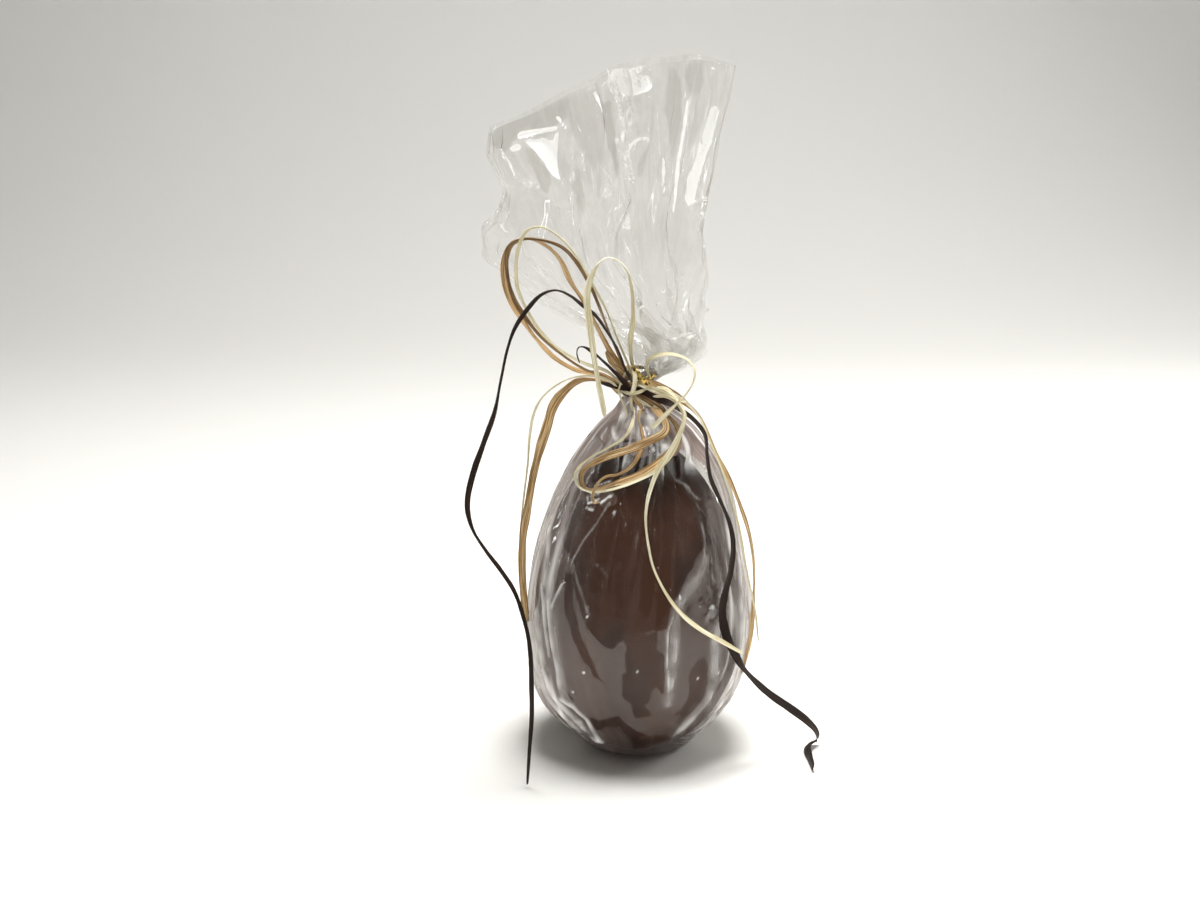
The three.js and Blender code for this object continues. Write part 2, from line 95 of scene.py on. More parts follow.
# Raffia strands: node, finish, far end, width that shows at even steps, route from the knot outwards
STRANDS = [
    ("loop_left_tan", "tan", "object",
     (3.4, 3.2, 2.2, 1.8, 1.8, 2.4, 2.2, 1.4, 2.6, 3, 2.4, 1.5, 2, 1.8, 2, 2.2), [
        (-5, -7.5, 164), (-8, -12, 168), (-13.5, -17, 179), (-22.5, -22, 198), (-28.5, -24, 208),
        (-33, -25, 217.5), (-39, -25, 223), (-45.5, -24, 225), (-51.5, -22.5, 223), (-55, -21.5, 215.5),
        (-55, -21, 208), (-53, -20, 199.5), (-48.5, -18.5, 191), (-42, -16.5, 181.5), (-34.5, -14, 173.5),
        (-26, -12.5, 168.5), (-16.5, -11.5, 166.5), (-8, -10.5, 161.5)]),
    ("loop_left_brown", "umber", "object",
     (1.4, 1.2, 1, 1.4, 1.7, 1.6, 1.3, 1.6, 1.4, 1.8, 1.3, 1, 1.2, 1.4), [
        (-4, -10.5, 165), (-7, -16, 171), (-11.5, -22, 182.5), (-15.5, -26.5, 194), (-20.5, -30, 207),
        (-25, -32, 215.5), (-31.5, -33, 223), (-39.5, -33, 226), (-47.5, -31, 226), (-53, -28.5, 222),
        (-54, -26, 213.5), (-52, -24, 202.5), (-47, -22, 193), (-40.5, -20, 184), (-32, -17.5, 176),
        (-23, -15.5, 169.5), (-15.5, -14.5, 166.5), (-8, -13, 161.5)]),
    ("loop_left_cream", "cream", "object", (1, 1.1, 0.9, 1.2, 1.1, 0.9, 1.5, 1.5, 1.3, 1.1, 1.4, 1.2), [
        (-3, -13, 165), (-5.5, -19, 173), (-10.5, -25.5, 186.5), (-14.5, -30.5, 198), (-19.5, -34, 208),
        (-25.5, -37, 219.5), (-32.5, -38.5, 228), (-39.5, -38.5, 232), (-45, -37, 230.5),
        (-48.5, -34.5, 224), (-50, -32, 215.5), (-49.5, -29.5, 206), (-46, -27, 196.5),
        (-40, -24.5, 186.5), (-32, -22, 178.5), (-23, -19.5, 173), (-14.5, -17.5, 169.5),
        (-6.5, -15.5, 162)]),
    ("loop_centre_cream", "cream", "bare", (1.4, 1.7, 1.9, 1.5, 1.7, 1, 1.4, 2.6, 2.8, 2.5, 2.2, 2.2, 1.9), [
        (-1, -12, 166), (-3.5, -14, 171.5), (-4.5, -17, 180.5), (-3.5, -21, 192), (-4, -26, 203.5),
        (-6, -31.5, 213), (-10, -36.5, 218.5), (-15, -41, 220), (-19.5, -44.5, 215.5), (-22, -46.5, 207),
        (-21, -46.5, 196), (-19.5, -44.5, 183.5), (-17.5, -41, 170), (-15, -36, 155.5)]),
    ("tail_left_brown", "brown", "bare",
     (1.2, 1.4, 1.3, 1.8, 1.4, 1.9, 1.1, 1, 2.2, 2.5, 2.3, 1.3, 1.7, 1.8, 1.6, 1.9, 1.8, 1.9, 1.5), [
        (-3.5, -15.5, 164), (-6.5, -21, 171), (-9, -26, 179), (-13.5, -33, 188.5), (-18.5, -38.5, 197),
        (-23.5, -43.5, 202), (-28.5, -46, 206.5), (-34, -48, 209), (-39.5, -49, 207.5), (-45, -50, 202),
        (-50, -50.5, 194.5), (-53, -51, 186), (-55.5, -51, 174.5), (-58.5, -51, 160.5), (-63, -51, 148),
        (-67.5, -51, 134.5), (-69.5, -51, 125.5), (-69.5, -51, 119.5), (-67.5, -51, 112),
        (-62.5, -51, 103.5), (-57, -51.5, 96), (-51.5, -52, 87), (-48, -52, 76), (-45.5, -52, 63),
        (-45, -52, 48), (-45, -52, 32.5), (-46, -52, 17), (-47, -51.5, 1.6)]),
    ("tail_short_brown", "brown", "bare", (2.4, 2.6, 1.8, 1.4, 1.2, 1.7, 1.4, 1), [
        (-4.5, -15.5, 160.5), (-7, -19.5, 165.5), (-11, -24.5, 171), (-14.5, -29, 175.5),
        (-19.5, -34, 181), (-23, -37, 184), (-25.5, -38.5, 184), (-26, -39, 181.5), (-25, -38.5, 178)]),
    ("tail_left_tan", "tan", "bare", (1.9, 2.2, 3.2, 4, 4.1, 4, 3.5, 3.4, 3.7, 3.4, 3.2, 3, 2.4), [
        (-8.5, -8, 157), (-13.5, -7.5, 162), (-21, -6.5, 163.5), (-26, -5, 162.5), (-32, -4, 157.5),
        (-36.5, -4, 151), (-39.5, -4, 141), (-43, -4.5, 130), (-45.5, -5.5, 119.5), (-47.5, -7, 108),
        (-49.5, -9, 96.5), (-50, -11, 85.5), (-49.5, -13, 71.5), (-48, -15.5, 59.5)]),
    ("tail_left_cream", "cream", "bare", (0.9, 1.1, 0.8, 0.9, 1.1, 0.9, 1, 0.8), [
        (-7, -14.5, 158), (-12.5, -19.5, 165.5), (-19.5, -22, 168.5), (-27, -24, 168.5), (-33, -25.5, 166.5),
        (-39.5, -26.5, 161.5), (-43.5, -26.5, 154.5), (-45.5, -26, 144), (-46.5, -25, 132),
        (-48, -23.5, 120), (-49.5, -21.5, 107.5)]),
    ("tail_right_tan", "tan", "bare", (2.2, 1.8, 1.5, 1.4, 1.9, 1.6, 1.7, 1.5, 1.3, 2, 2, 1.4), [
        (8, -8, 158.5), (14, -9.5, 156), (21, -9, 151.5), (26, -8, 145), (29.5, -7, 137),
        (32, -6.5, 131), (37, -7, 121), (42, -7, 109), (46, -7, 97), (48, -8, 86.5), (48.5, -10, 76.5),
        (48, -13.5, 67), (47, -18.5, 56), (45, -23, 47.5), (42.5, -27, 41)]),
    ("tail_right_cream", "cream", "bare", (1.3, 1.2, 0.9, 1.1, 0.9, 1.2, 0.9, 1, 0.8), [
        (7, -11.5, 161), (12, -14, 159.5), (18, -15, 156), (24, -15, 149), (28, -15, 140),
        (31.5, -15.5, 132), (35, -16, 123.5), (38.5, -16, 112), (41.5, -16, 100), (44, -17, 87),
        (46.5, -18.5, 75.5), (48.5, -20, 65.5), (50, -22, 53.5)]),
    ("tail_right_brown", "brown", "bare",
     (2.6, 2.2, 1.8, 1.7, 2, 1.7, 2, 2.3, 3, 3.8, 3.2, 1.8, 2.3, 3.2, 3.4, 2.6, 1.6, 1.4, 1), [
        (7.5, -11.5, 155.5), (10.5, -17, 156.5), (15.5, -21.5, 154.5), (21, -22, 150.5), (26, -21, 143.5),
        (27, -20.5, 134.5), (28.5, -22.5, 125), (32.5, -24, 116), (36.5, -23.5, 106), (38, -25, 97.5),
        (37, -30, 88.5), (34.5, -35, 79.5), (33.5, -37, 71.5), (35.5, -37.5, 61.5), (39, -38, 54),
        (45, -34, 43.5), (54.5, -28, 32), (64.5, -22, 22.5), (72, -17.5, 15), (76.5, -14, 8.5),
        (77.5, -11, 3), (75, -12, 2.2), (72.5, -17, 2.2), (72.5, -27, 2.2), (73, -38, 2.2)]),
    ("loop_front_tan", "tan", "object", (2, 2.8, 3.2, 3.8, 3.8, 3.4, 2.2, 1.7, 2, 3, 3.7, 3.4, 2, 1.7, 2), [
        (5.5, -13, 153.5), (6.5, -20, 153.5), (10, -24.5, 149), (9.5, -27, 146.5), (3.5, -29.5, 143.5),
        (-4.5, -31, 140.5), (-13.5, -31, 137.5), (-20.5, -29.5, 133.5), (-24, -28, 130),
        (-24.5, -29, 125.5), (-22, -31.5, 123.5), (-18, -33.5, 124), (-10, -35, 127), (-2, -34.5, 129.5),
        (7, -31.5, 134.5), (13.5, -27, 139.5), (15.5, -23, 143), (14.5, -18.5, 146.5), (11.5, -14, 149.5),
        (8, -9.5, 152)]),
    ("loop_front_cream", "cream", "object", (1, 1.2, 1, 1.1, 1.3, 1, 1.2, 1.5, 1.5, 1.2, 1, 1.2), [
        (-3.5, -12.5, 152), (-3, -19, 154), (-3, -24, 152.5), (-4.5, -30, 149), (-7.5, -33.5, 145.5),
        (-12, -35, 143), (-17, -35, 140), (-22.5, -33, 136), (-26, -31.5, 132), (-27, -31.5, 128.5),
        (-25.5, -33, 125), (-21.5, -35, 123.5), (-17, -37, 124), (-10, -38.5, 126), (-3.5, -38.5, 128.5),
        (4.5, -36.5, 132), (10, -34, 136), (14, -30.5, 141.5), (16.5, -28, 148), (17, -26, 153),
        (14.5, -24.5, 157.5), (10, -20.5, 159.5), (5, -16.5, 158.5)]),
    ("loop_right_cream", "cream", "bare", (1.1, 1, 1.3, 1.1, 0.9, 0.9, 1.2, 1.9, 2.1), [
        (3.5, -9.5, 164.5), (2.5, -13, 169.5), (3, -17.5, 174), (6.5, -22, 177), (11, -26, 178.5),
        (16, -29, 178), (19.5, -31.5, 176), (21, -33.5, 173), (20, -36, 169), (17, -39, 165),
        (12.5, -41.5, 161), (7.5, -44, 156.5), (3.5, -46, 153)]),
    ("tail_front_cream", "cream", "bare", (1.2, 1, 1, 2.2, 2.5, 2, 1.5, 1.3, 1.2, 1.3, 1.5, 1.7, 1.5, 0.9), [
        (6.5, -14.5, 162), (10, -20, 162.5), (13, -26, 161), (15.5, -31, 158.5), (17, -34.5, 156),
        (16.5, -37, 153), (14, -39, 147), (10, -41, 140), (6, -42.5, 134), (3.5, -43.5, 127.5),
        (2, -43.5, 121), (1.5, -43, 113), (2.5, -44.5, 104), (4.5, -46, 95), (9, -47.5, 85.5),
        (15.5, -47.5, 76), (24, -46, 68), (33, -44.5, 62), (42, -43, 56)]),
    ("curl_tan", "tan", "bare", (1.6, 1.2, 1.6, 2.2, 1.8, 1.2, 1.6, 1.4, 1), [
        (1.5, -12, 151.5), (-0.5, -17, 152.5), (-1, -19.5, 149.5), (0, -22.5, 146), (0.5, -25.5, 142.5),
        (-0.5, -27.5, 138.5), (-2.5, -29.5, 135), (-5.5, -31, 132), (-10, -33, 130), (-14, -37, 130.5),
        (-17, -40, 129.5), (-19, -41, 126.5), (-20, -40.5, 123), (-19, -41.5, 120.5), (-17, -42.5, 121.5)]),
]

# ---- Small helpers -----------------------------------------------------------------------------------------


def smooth_step(low, high, value):
    """0 below low, 1 above high, smooth between."""
    share = min(1.0, max(0.0, (value - low) / (high - low)))
    return share * share * (3 - 2 * share)


def between(rows, at, column):
    """Straight line between rows of numbers whose first is their place."""
    if at <= rows[0][0]:
        return rows[0][column]
    for low, high in zip(rows, rows[1:]):
        if at <= high[0]:
            share = (at - low[0]) / (high[0] - low[0])
            return low[column] + share * (high[column] - low[column])
    return rows[-1][column]


def shaded_smooth(mesh):
    mesh.polygons.foreach_set("use_smooth", [True] * len(mesh.polygons))


def object_from(bm, name, material):
    """A new object whose place is in its mesh, with smooth faces."""
    mesh = bpy.data.meshes.new(name)
    bm.to_mesh(mesh)
    bm.free()
    shaded_smooth(mesh)
    mesh.materials.append(material)
    piece = bpy.data.objects.new(name, mesh)
    bpy.context.scene.collection.objects.link(piece)
    return piece


def straight_tube(sides, rows, capped):
    """A tube of radius 1 with a ring at each whole height from 0 to rows.

    It is a rolled grid, because spin gives edges and faces in another order each run, and a simulation on it
    then ends in another shape.
    """
    bm = bmesh.new()
    bmesh.ops.create_grid(bm, x_segments=sides, y_segments=rows, size=0.5)
    for vertex in bm.verts:
        turn = 2 * math.pi * (vertex.co.x + 0.5)
        vertex.co = (math.cos(turn), math.sin(turn), round((vertex.co.y + 0.5) * rows))
    bmesh.ops.remove_doubles(bm, verts=bm.verts, dist=1e-4)
    if capped:
        bmesh.ops.holes_fill(bm, edges=[edge for edge in bm.edges if edge.is_boundary], sides=0)
    bmesh.ops.recalc_face_normals(bm, faces=bm.faces)
    return bm


def station(vertex, sides):
    """The ring and the side of a vertex of a straight tube."""
    turn = math.atan2(vertex.co.y, vertex.co.x) / (2 * math.pi)
    return round(vertex.co.z), round(turn * sides) % sides


# ---- Smooth routes -----------------------------------------------------------------------------------------


def centripetal_point(p0, p1, p2, p3, share):
    """A point of a centripetal curve between p1 and p2."""
    t1 = max(1e-6, (p1 - p0).length ** 0.5)
    t2 = t1 + max(1e-6, (p2 - p1).length ** 0.5)
    t3 = t2 + max(1e-6, (p3 - p2).length ** 0.5)
    t = t1 + share * (t2 - t1)
    a1 = p0.lerp(p1, t / t1)
    a2 = p1.lerp(p2, (t - t1) / (t2 - t1))
    a3 = p2.lerp(p3, (t - t2) / (t3 - t2))
    b1 = a1.lerp(a2, t / t2)
    b2 = a2.lerp(a3, (t - t1) / (t3 - t1))
    return b1.lerp(b2, (t - t1) / (t2 - t1))


def smooth_route(points, step):
    """Evenly spaced points along a smooth curve through the given ones."""
    ends = [2 * points[0] - points[1], *points, 2 * points[-1] - points[-2]]
    fine = []
    for index in range(len(points) - 1):
        for part in range(24):
            fine.append(centripetal_point(*ends[index:index + 4], part / 24))
    fine.append(points[-1].copy())
    lengths = [0.0]
    for low, high in zip(fine, fine[1:]):
        lengths.append(lengths[-1] + (high - low).length)
    count = max(8, round(lengths[-1] / step))
    even = []
    place = 0
    for index in range(count + 1):
        wanted = lengths[-1] * index / count
        while place < len(fine) - 2 and lengths[place + 1] < wanted:
            place += 1
        span = lengths[place + 1] - lengths[place]
        even.append(fine[place].lerp(fine[place + 1], (wanted - lengths[place]) / span))
    return even, lengths[-1]


def flat_frames(route, facing):
    """Tangent, face normal and width direction along a route whose flat side keeps turning to a direction."""
    frames = []
    normal = None
    for index, point in enumerate(route):
        ahead = route[min(index + 1, len(route) - 1)]
        behind = route[max(index - 1, 0)]
        tangent = (ahead - behind).normalized()
        wanted = facing(point)
        wanted = wanted - tangent * wanted.dot(tangent)
        normal = wanted.copy() if normal is None else normal + 0.4 * wanted
        normal = (normal - tangent * normal.dot(tangent)).normalized()
        frames.append((tangent, normal, tangent.cross(normal)))
    return frames


# ---- Raffia ------------------------------------------------------------------------------------------------

# Sides and thickness of a strip's section, distance between its rows, and the width that still shows where it
# is turned on edge
STRIP_SIDES = 20
STRIP_THICK = 0.3
STRAND_STEP = 1.1
KNOT_STEP = 0.8
TIE_STEP = 0.5
TURNED_SHOWS = 0.6

# Unevenness along a strip: changes per metre, strength, and a number that keeps it apart from the others
UNEVEN_RIDGES = (18, 2, 0.0)
UNEVEN_WIDTH = (110, 0.16, 2.0)
UNEVEN_TURN = (30, 0.25, 3.1)
UNEVEN_CURL = (30, 1, 9.0)


def smooth_between(values, share):
    """A value along evenly spaced ones, with smooth changes."""
    place = share * (len(values) - 1)
    index = min(int(place), len(values) - 2)
    part = place - index
    return values[index] + (values[index + 1] - values[index]) * part * part * (3 - 2 * part)


def uneven(kind, along, seed):
    """Slow noise along a strip."""
    pace, strength, layer = kind
    return strength * noise.noise((along * pace, seed, layer))


def strip_section(side, seed, along):
    """Place across the strip, from -1 to 1, and height on it, for one side of its ridged section."""
    turn = 2 * math.pi * side / STRIP_SIDES
    across = math.cos(turn)
    ridges = 0.5 * math.cos(9.5 * across + seed + uneven(UNEVEN_RIDGES, along, seed))
    height = math.copysign(abs(math.sin(turn)) ** 0.7, math.sin(turn))
    return across, height + ridges


def strip(route, shows, seed, facing, material, name, curl=0.35):
    """A fibrous ribbon along a route: ridged, curled a little, and turned so that a given width shows."""
    rows = len(route) - 1
    bm = straight_tube(STRIP_SIDES, rows, True)
    frames = flat_frames(route, facing)
    length = sum((high - low).length for low, high in zip(route, route[1:]))
    layer = bm.verts.layers.float_vector.new("strand")
    full = max(shows) * MM
    for vertex in bm.verts:
        row, side = station(vertex, STRIP_SIDES)
        along = length * row / rows
        _, normal, sideways = frames[row]
        shown = smooth_between(shows, row / rows) * (1 + uneven(UNEVEN_WIDTH, along, seed))
        narrowed = (shown - TURNED_SHOWS) / (max(shows) - TURNED_SHOWS)
        angle = math.acos(min(1, max(0.12, narrowed))) + uneven(UNEVEN_TURN, along, seed)
        wide = sideways * math.cos(angle) + normal * math.sin(angle)
        up = normal * math.cos(angle) - sideways * math.sin(angle)
        half = full / 2 * min(1, 0.5 + 0.35 * min(row, rows - row))
        across, height = strip_section(side, seed, along)
        bend = curl * (0.6 + uneven(UNEVEN_CURL, along, seed)) * (across * across - 0.4)
        vertex[layer] = (across, along / MM, seed)
        vertex.co = (
            route[row] + wide * across * half
            + up * (STRIP_THICK * MM / 2 * height + half * bend)
        )
    bmesh.ops.recalc_face_normals(bm, faces=bm.faces)
    return object_from(bm, name, material)


def towards_front(_point):
    return Vector((0, -1, 0.15))


def away_from_neck(point):
    return Vector((point.x, point.y, 0)).normalized()


def colour_property(name, description, default):
    return FloatVectorProperty(
        name=name, description=description, subtype="COLOR", size=4, min=0, max=1, default=(*default, 1))


class RaffiaSettings(bpy.types.PropertyGroup):
    cream: colour_property("Cream", "Colour of the pale raffia", (0.69, 0.645, 0.47))
    tan: colour_property("Tan", "Colour of the tan raffia", (0.6, 0.425, 0.215))
    umber: colour_property("Umber", "Colour of the dull brown raffia", (0.235, 0.145, 0.066))
    brown: colour_property("Brown", "Colour of the dark raffia", (0.017, 0.0085, 0.0055))


class BAGGED_EGG_OT_raffia(bpy.types.Operator):
    """Lay the raffia loops and tails that leave the knot"""

    bl_idname = "bagged_egg.raffia"
    bl_label = "Raffia Loops and Tails"

    def execute(self, context):
        finishes = raffia_finishes(context.scene.bagged_egg_raffia)
        for index, (name, finish, far_end, shows, points) in enumerate(STRANDS):
            route, length = smooth_route([Vector(point) * MM for point in points], STRAND_STEP * MM)
            piece = strip(route, shows, 1.7 * index + 0.6, towards_front, finishes[finish], name + "_strand")
            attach(piece, "root")
            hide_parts(name)
        return {"FINISHED"}


# ---- Knot and twist tie ------------------------------------------------------------------------------------

# Turns of raffia round the neck: name, finish, width, height, tilt, radius, phase
WRAPS = [
    ("wrap_brown", "brown", 2.4, 157.6, 0.1, 6.3, 0.4),
    ("wrap_cream", "cream", 2.8, 159.8, -0.34, 6.7, 0.9),
    ("wrap_tan", "tan", 2.4, 162, 0.3, 6.4, 0.3),
]

# Ends that cross in front of the turns and lead to the loops and tails: name, finish, width along it, route
KNOT_ENDS = [
    ("end_brown_right", "brown", (1.8, 2.6, 2.8, 2.6, 2.2), [
        (-3, -12.2, 160.8), (1.5, -14.8, 159.6), (5.5, -16, 158), (9.5, -17.2, 156.6), (13, -19.5, 155.8)]),
    ("end_cream_right", "cream", (1.4, 2.2, 2.4, 2.2, 1.4), [
        (-1.5, -12.6, 162.8), (3.6, -15, 161.8), (8.6, -15.6, 159.8), (13.5, -15.3, 158),
        (18.5, -15.4, 155.6)]),
    ("end_tan_right", "tan", (1.4, 2.4, 2.4, 2, 1.6), [
        (-1, -11.5, 164.4), (3.5, -13.4, 163.9), (9, -13.4, 161.6), (15, -12, 157.6), (21, -10.2, 151.8)]),
    ("end_umber_right", "umber", (1.6, 2.4, 2.8, 2.4), [
        (-2.5, -12, 158.8), (2, -14.6, 157), (6, -15.4, 154.6), (10, -14.6, 151.6)]),
    ("end_cream_down", "cream", (1.2, 1.8, 1.8, 1.4), [
        (-2.5, -12, 157.6), (0.5, -13.8, 155.6), (4.5, -15.4, 154.2), (7, -18.6, 153.4)]),
    ("end_tan_down", "tan", (1.2, 1.8, 1.6, 1.2), [
        (-3.2, -12, 157.8), (-1.6, -13.2, 155.4), (0.2, -13.4, 153), (1.2, -12.8, 151)]),
    ("end_pale_down", "cream", (1, 1.5, 1.3, 1.1), [
        (-4, -11.8, 158), (-4.2, -13.2, 155.6), (-3.8, -13.4, 153.4), (-3.4, -12.8, 151.2)]),
    ("end_brown_left", "brown", (1.2, 2, 2.2, 1.8), [
        (-17.5, -17, 164.6), (-12.5, -18, 163.6), (-7.5, -17.6, 162.4), (-3, -15, 161.4)]),
    ("end_tan_left", "tan", (2.2, 3.2, 3, 2.2), [
        (-14.5, -18, 177.6), (-11.5, -17, 173), (-8.4, -15.8, 169.4), (-5.4, -13.6, 166)]),
    ("end_cream_front", "cream", (1.2, 1.8, 2, 1.8, 1.4), [
        (-3.6, -13.4, 170.4), (-2.6, -16.2, 167.4), (-2.8, -17.2, 163.6), (-3.6, -16, 160.2),
        (-4.2, -12.4, 157.8)]),
    ("end_cream_under", "cream", (1.2, 1.7, 1.5, 1.2), [
        (-8.5, -12.5, 160.2), (-5, -15.2, 159.6), (-1, -15.6, 160), (2.5, -13.4, 161.2)]),
    ("end_pale_loop", "cream", (0.8, 1, 0.8, 0.9, 1), [
        (-3.4, -14, 171), (-5.9, -17.6, 169.8), (-7.9, -18.6, 165.6), (-9.1, -18.4, 161.8),
        (-8.3, -17.2, 157.9), (-6.6, -15.8, 153.8), (-5.8, -14.4, 150)]),
]


def ring_route(height, tilt, radius, phase):
    """A closed turn round the neck, bulging to the front over what it ties; its ends overlap a little."""
    points = []
    for step in range(31):
        turn = math.radians(-90) + 2 * math.pi * 1.03 * step / 30 + 0.05 * phase
        front = math.exp(-((math.atan2(math.cos(turn), -math.sin(turn)) / 0.6) ** 2))
        reach = radius + 4.4 * front + 0.02 * step
        rise = tilt * radius * math.cos(turn + phase)
        points.append(Vector((reach * math.cos(turn) - 1, reach * math.sin(turn), height + rise)) * MM)
    return points


class BAGGED_EGG_OT_knot(bpy.types.Operator):
    """Wrap the raffia knot round the neck of the bag"""

    bl_idname = "bagged_egg.knot"
    bl_label = "Raffia Knot"

    def execute(self, context):
        finishes = raffia_finishes(context.scene.bagged_egg_raffia)
        for index, (name, finish, width, height, tilt, radius, phase) in enumerate(WRAPS):
            route, _ = smooth_route(ring_route(height, tilt, radius, phase), KNOT_STEP * MM)
            shows = [width * share for share in (0.9, 1, 0.8, 1, 0.7, 1, 0.9)]
            piece = strip(route, shows, 31.3 + index, away_from_neck, finishes[finish], name, 0.25)
            make_knot_piece(piece)
        for index, (name, finish, shows, points) in enumerate(KNOT_ENDS):
            route, _ = smooth_route([Vector(point) * MM for point in points], KNOT_STEP * MM)
            piece = strip(route, shows, 41.7 + 1.9 * index, towards_front, finishes[finish], name)
            make_knot_piece(piece)
        return {"FINISHED"}


def make_knot_piece(piece):
    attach(piece, "root")
    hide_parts("raffia_knot")


class TieSettings(bpy.types.PropertyGroup):
    gilt: colour_property("Gilt", "Colour of the tie's metallised paper", (0.8, 0.56, 0.16))
    # Colour of the painted shade in the paper's folds
    fold_shade: colour_property("Shade", "Colour of the paper's dark folds", (0.09, 0.06, 0.012))
    width: FloatProperty(
        name="Width", description="Width of the twist tie", subtype="DISTANCE", unit="LENGTH", default=0.0026)


TIE_RADIUS = 6.9
TIE_START_HEIGHT = 163.4
TIE_RISE = 3


def tie_route():
    """One turn round the neck, whose end is folded back down across the front."""
    points = [Vector((5.4, -10, 164)), Vector((3.2, -9.6, 164))]
    for step in range(4, 16):
        turn = math.radians(-90) + 2 * math.pi * step / 16
        height = TIE_START_HEIGHT + TIE_RISE * step / 16
        points.append(Vector((TIE_RADIUS * math.cos(turn), TIE_RADIUS * math.sin(turn), height)))
    points += [
        Vector((-4.2, -10.4, 167.4)), Vector((-4.2, -14.2, 169.8)), Vector((-2.2, -15.4, 168.4)),
        Vector((-0.2, -15.9, 166.2)), Vector((1.8, -15.6, 164.2)), Vector((4.6, -14.4, 162)),
    ]
    return [point * MM for point in points]


class BAGGED_EGG_OT_tie(bpy.types.Operator):
    """Close the neck with a gilt twist tie"""

    bl_idname = "bagged_egg.tie"
    bl_label = "Twist Tie"

    def execute(self, context):
        settings = context.scene.bagged_egg_tie
        route, _ = smooth_route(tie_route(), TIE_STEP * MM)
        shows = [settings.width / MM * share for share in (0.6, 1, 1, 0.8, 1, 0.7, 1, 0.6, 1, 0.5)]
        piece = strip(route, shows, 77.0, away_from_neck, gilt_finish(settings), "gilt_tie", 0.5)
        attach(piece, "root")
        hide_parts("twist_tie")
        return {"FINISHED"}


# ---- Egg ---------------------------------------------------------------------------------------------------

# Faces up the egg's side
EGG_ROWS = 90


class EggSettings(bpy.types.PropertyGroup):
    radius: FloatProperty(
        name="Radius", description="Largest radius of the egg", subtype="DISTANCE", unit="LENGTH",
        default=EGG_RADIUS * MM)
    chocolate: colour_property("Chocolate", "Colour of the chocolate", (0.037, 0.0135, 0.006))
    dark: colour_property("Dark chocolate", "Colour of its darker patches", (0.021, 0.009, 0.0055))
    sides: IntProperty(name="Sides", description="Columns of faces round the egg", default=160)


def egg_radius(height, widest):
    """Radius of the egg at a height in millimetres: round below its widest ring, drawn to a tip above."""
    reach, power = EGG_LOWER if height < EGG_WIDEST_HEIGHT else EGG_UPPER
    return widest * max(0.0, 1 - ((height - EGG_WIDEST_HEIGHT) / reach) ** 2) ** power


class BAGGED_EGG_OT_egg(bpy.types.Operator):
    """Turn the chocolate egg"""

    bl_idname = "bagged_egg.egg"
    bl_label = "Chocolate Egg"

    def execute(self, context):
        settings = context.scene.bagged_egg_egg
        bm = bmesh.new()
        low = -math.asin((EGG_WIDEST_HEIGHT - EGG_FOOT_HEIGHT) / EGG_LOWER[0])
        profile = [bm.verts.new((0, 0, EGG_FOOT_HEIGHT * MM))]
        for step in range(EGG_ROWS + 1):
            turn = low + (math.pi / 2 - low) * step / EGG_ROWS
            reach = (EGG_LOWER if turn < 0 else EGG_UPPER)[0]
            height = EGG_WIDEST_HEIGHT + reach * math.sin(turn)
            profile.append(bm.verts.new((egg_radius(height, settings.radius), 0, height * MM)))
        edges = [bm.edges.new(pair) for pair in zip(profile, profile[1:])]
        bmesh.ops.spin(
            bm, geom=profile + edges, axis=(0, 0, 1), angle=2 * math.pi, steps=settings.sides, use_merge=True)
        bmesh.ops.remove_doubles(bm, verts=bm.verts, dist=1e-6)
        bmesh.ops.recalc_face_normals(bm, faces=bm.faces)
        piece = object_from(bm, "egg", chocolate_finish(settings))
        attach(piece, "root")
        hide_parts("bag")
        return {"FINISHED"}


# ---- Film bag ----------------------------------------------------------------------------------------------

# The loose bag: height of its belly and how full it is, the heights between which it goes over into a flat
# sleeve, and that sleeve's middle, half width, half depth and heights
BELLY_HEIGHT = 46
BELLY_POWER = 0.9
BELLY_STEPS = 60
SLEEVE_FROM = (125, 185)
SLEEVE_MIDDLE = -14
SLEEVE_HALF_WIDTH = 47
SLEEVE_HALF_DEPTH = 19
SLEEVE_NECK = 171.0
SLEEVE_TOP = 312.0

# The simulation: its scale, the rows that it draws in and how far they sink, its frames, and the least height
# of a gathered bag
SIM_SCALE = 10
NECK_ROWS = (163, 177)
NECK_DROP = 9.5
GATHER_FRAMES = 26
LAST_FRAME = 40
GATHERED_HEIGHT = 200

# The crown: heights between which it is spread to its edges, heights between which its columns are drawn
# straighter and by how much, and the height that its mouth is trimmed from
CROWN_SPREADS = (158, 165)
CROWN_STRAIGHTENS = (172, 196)
CROWN_STRAIGHTNESS = 0.7
CROWN_TRIMMED_FROM = 195

# The crown's folds: the height that they fan out from, and their size, in degrees across the fan, millimetres
# deep and millimetres along
CROWN_ROOT = 150
BROAD_FOLDS = (7.5, 11, 55)
FINE_FOLDS = (3.4, 7, 21)

# Radius at which one degree round is one millimetre, for paths on the crown, whose places are in millimetres
FLAT_RADIUS = math.degrees(1)


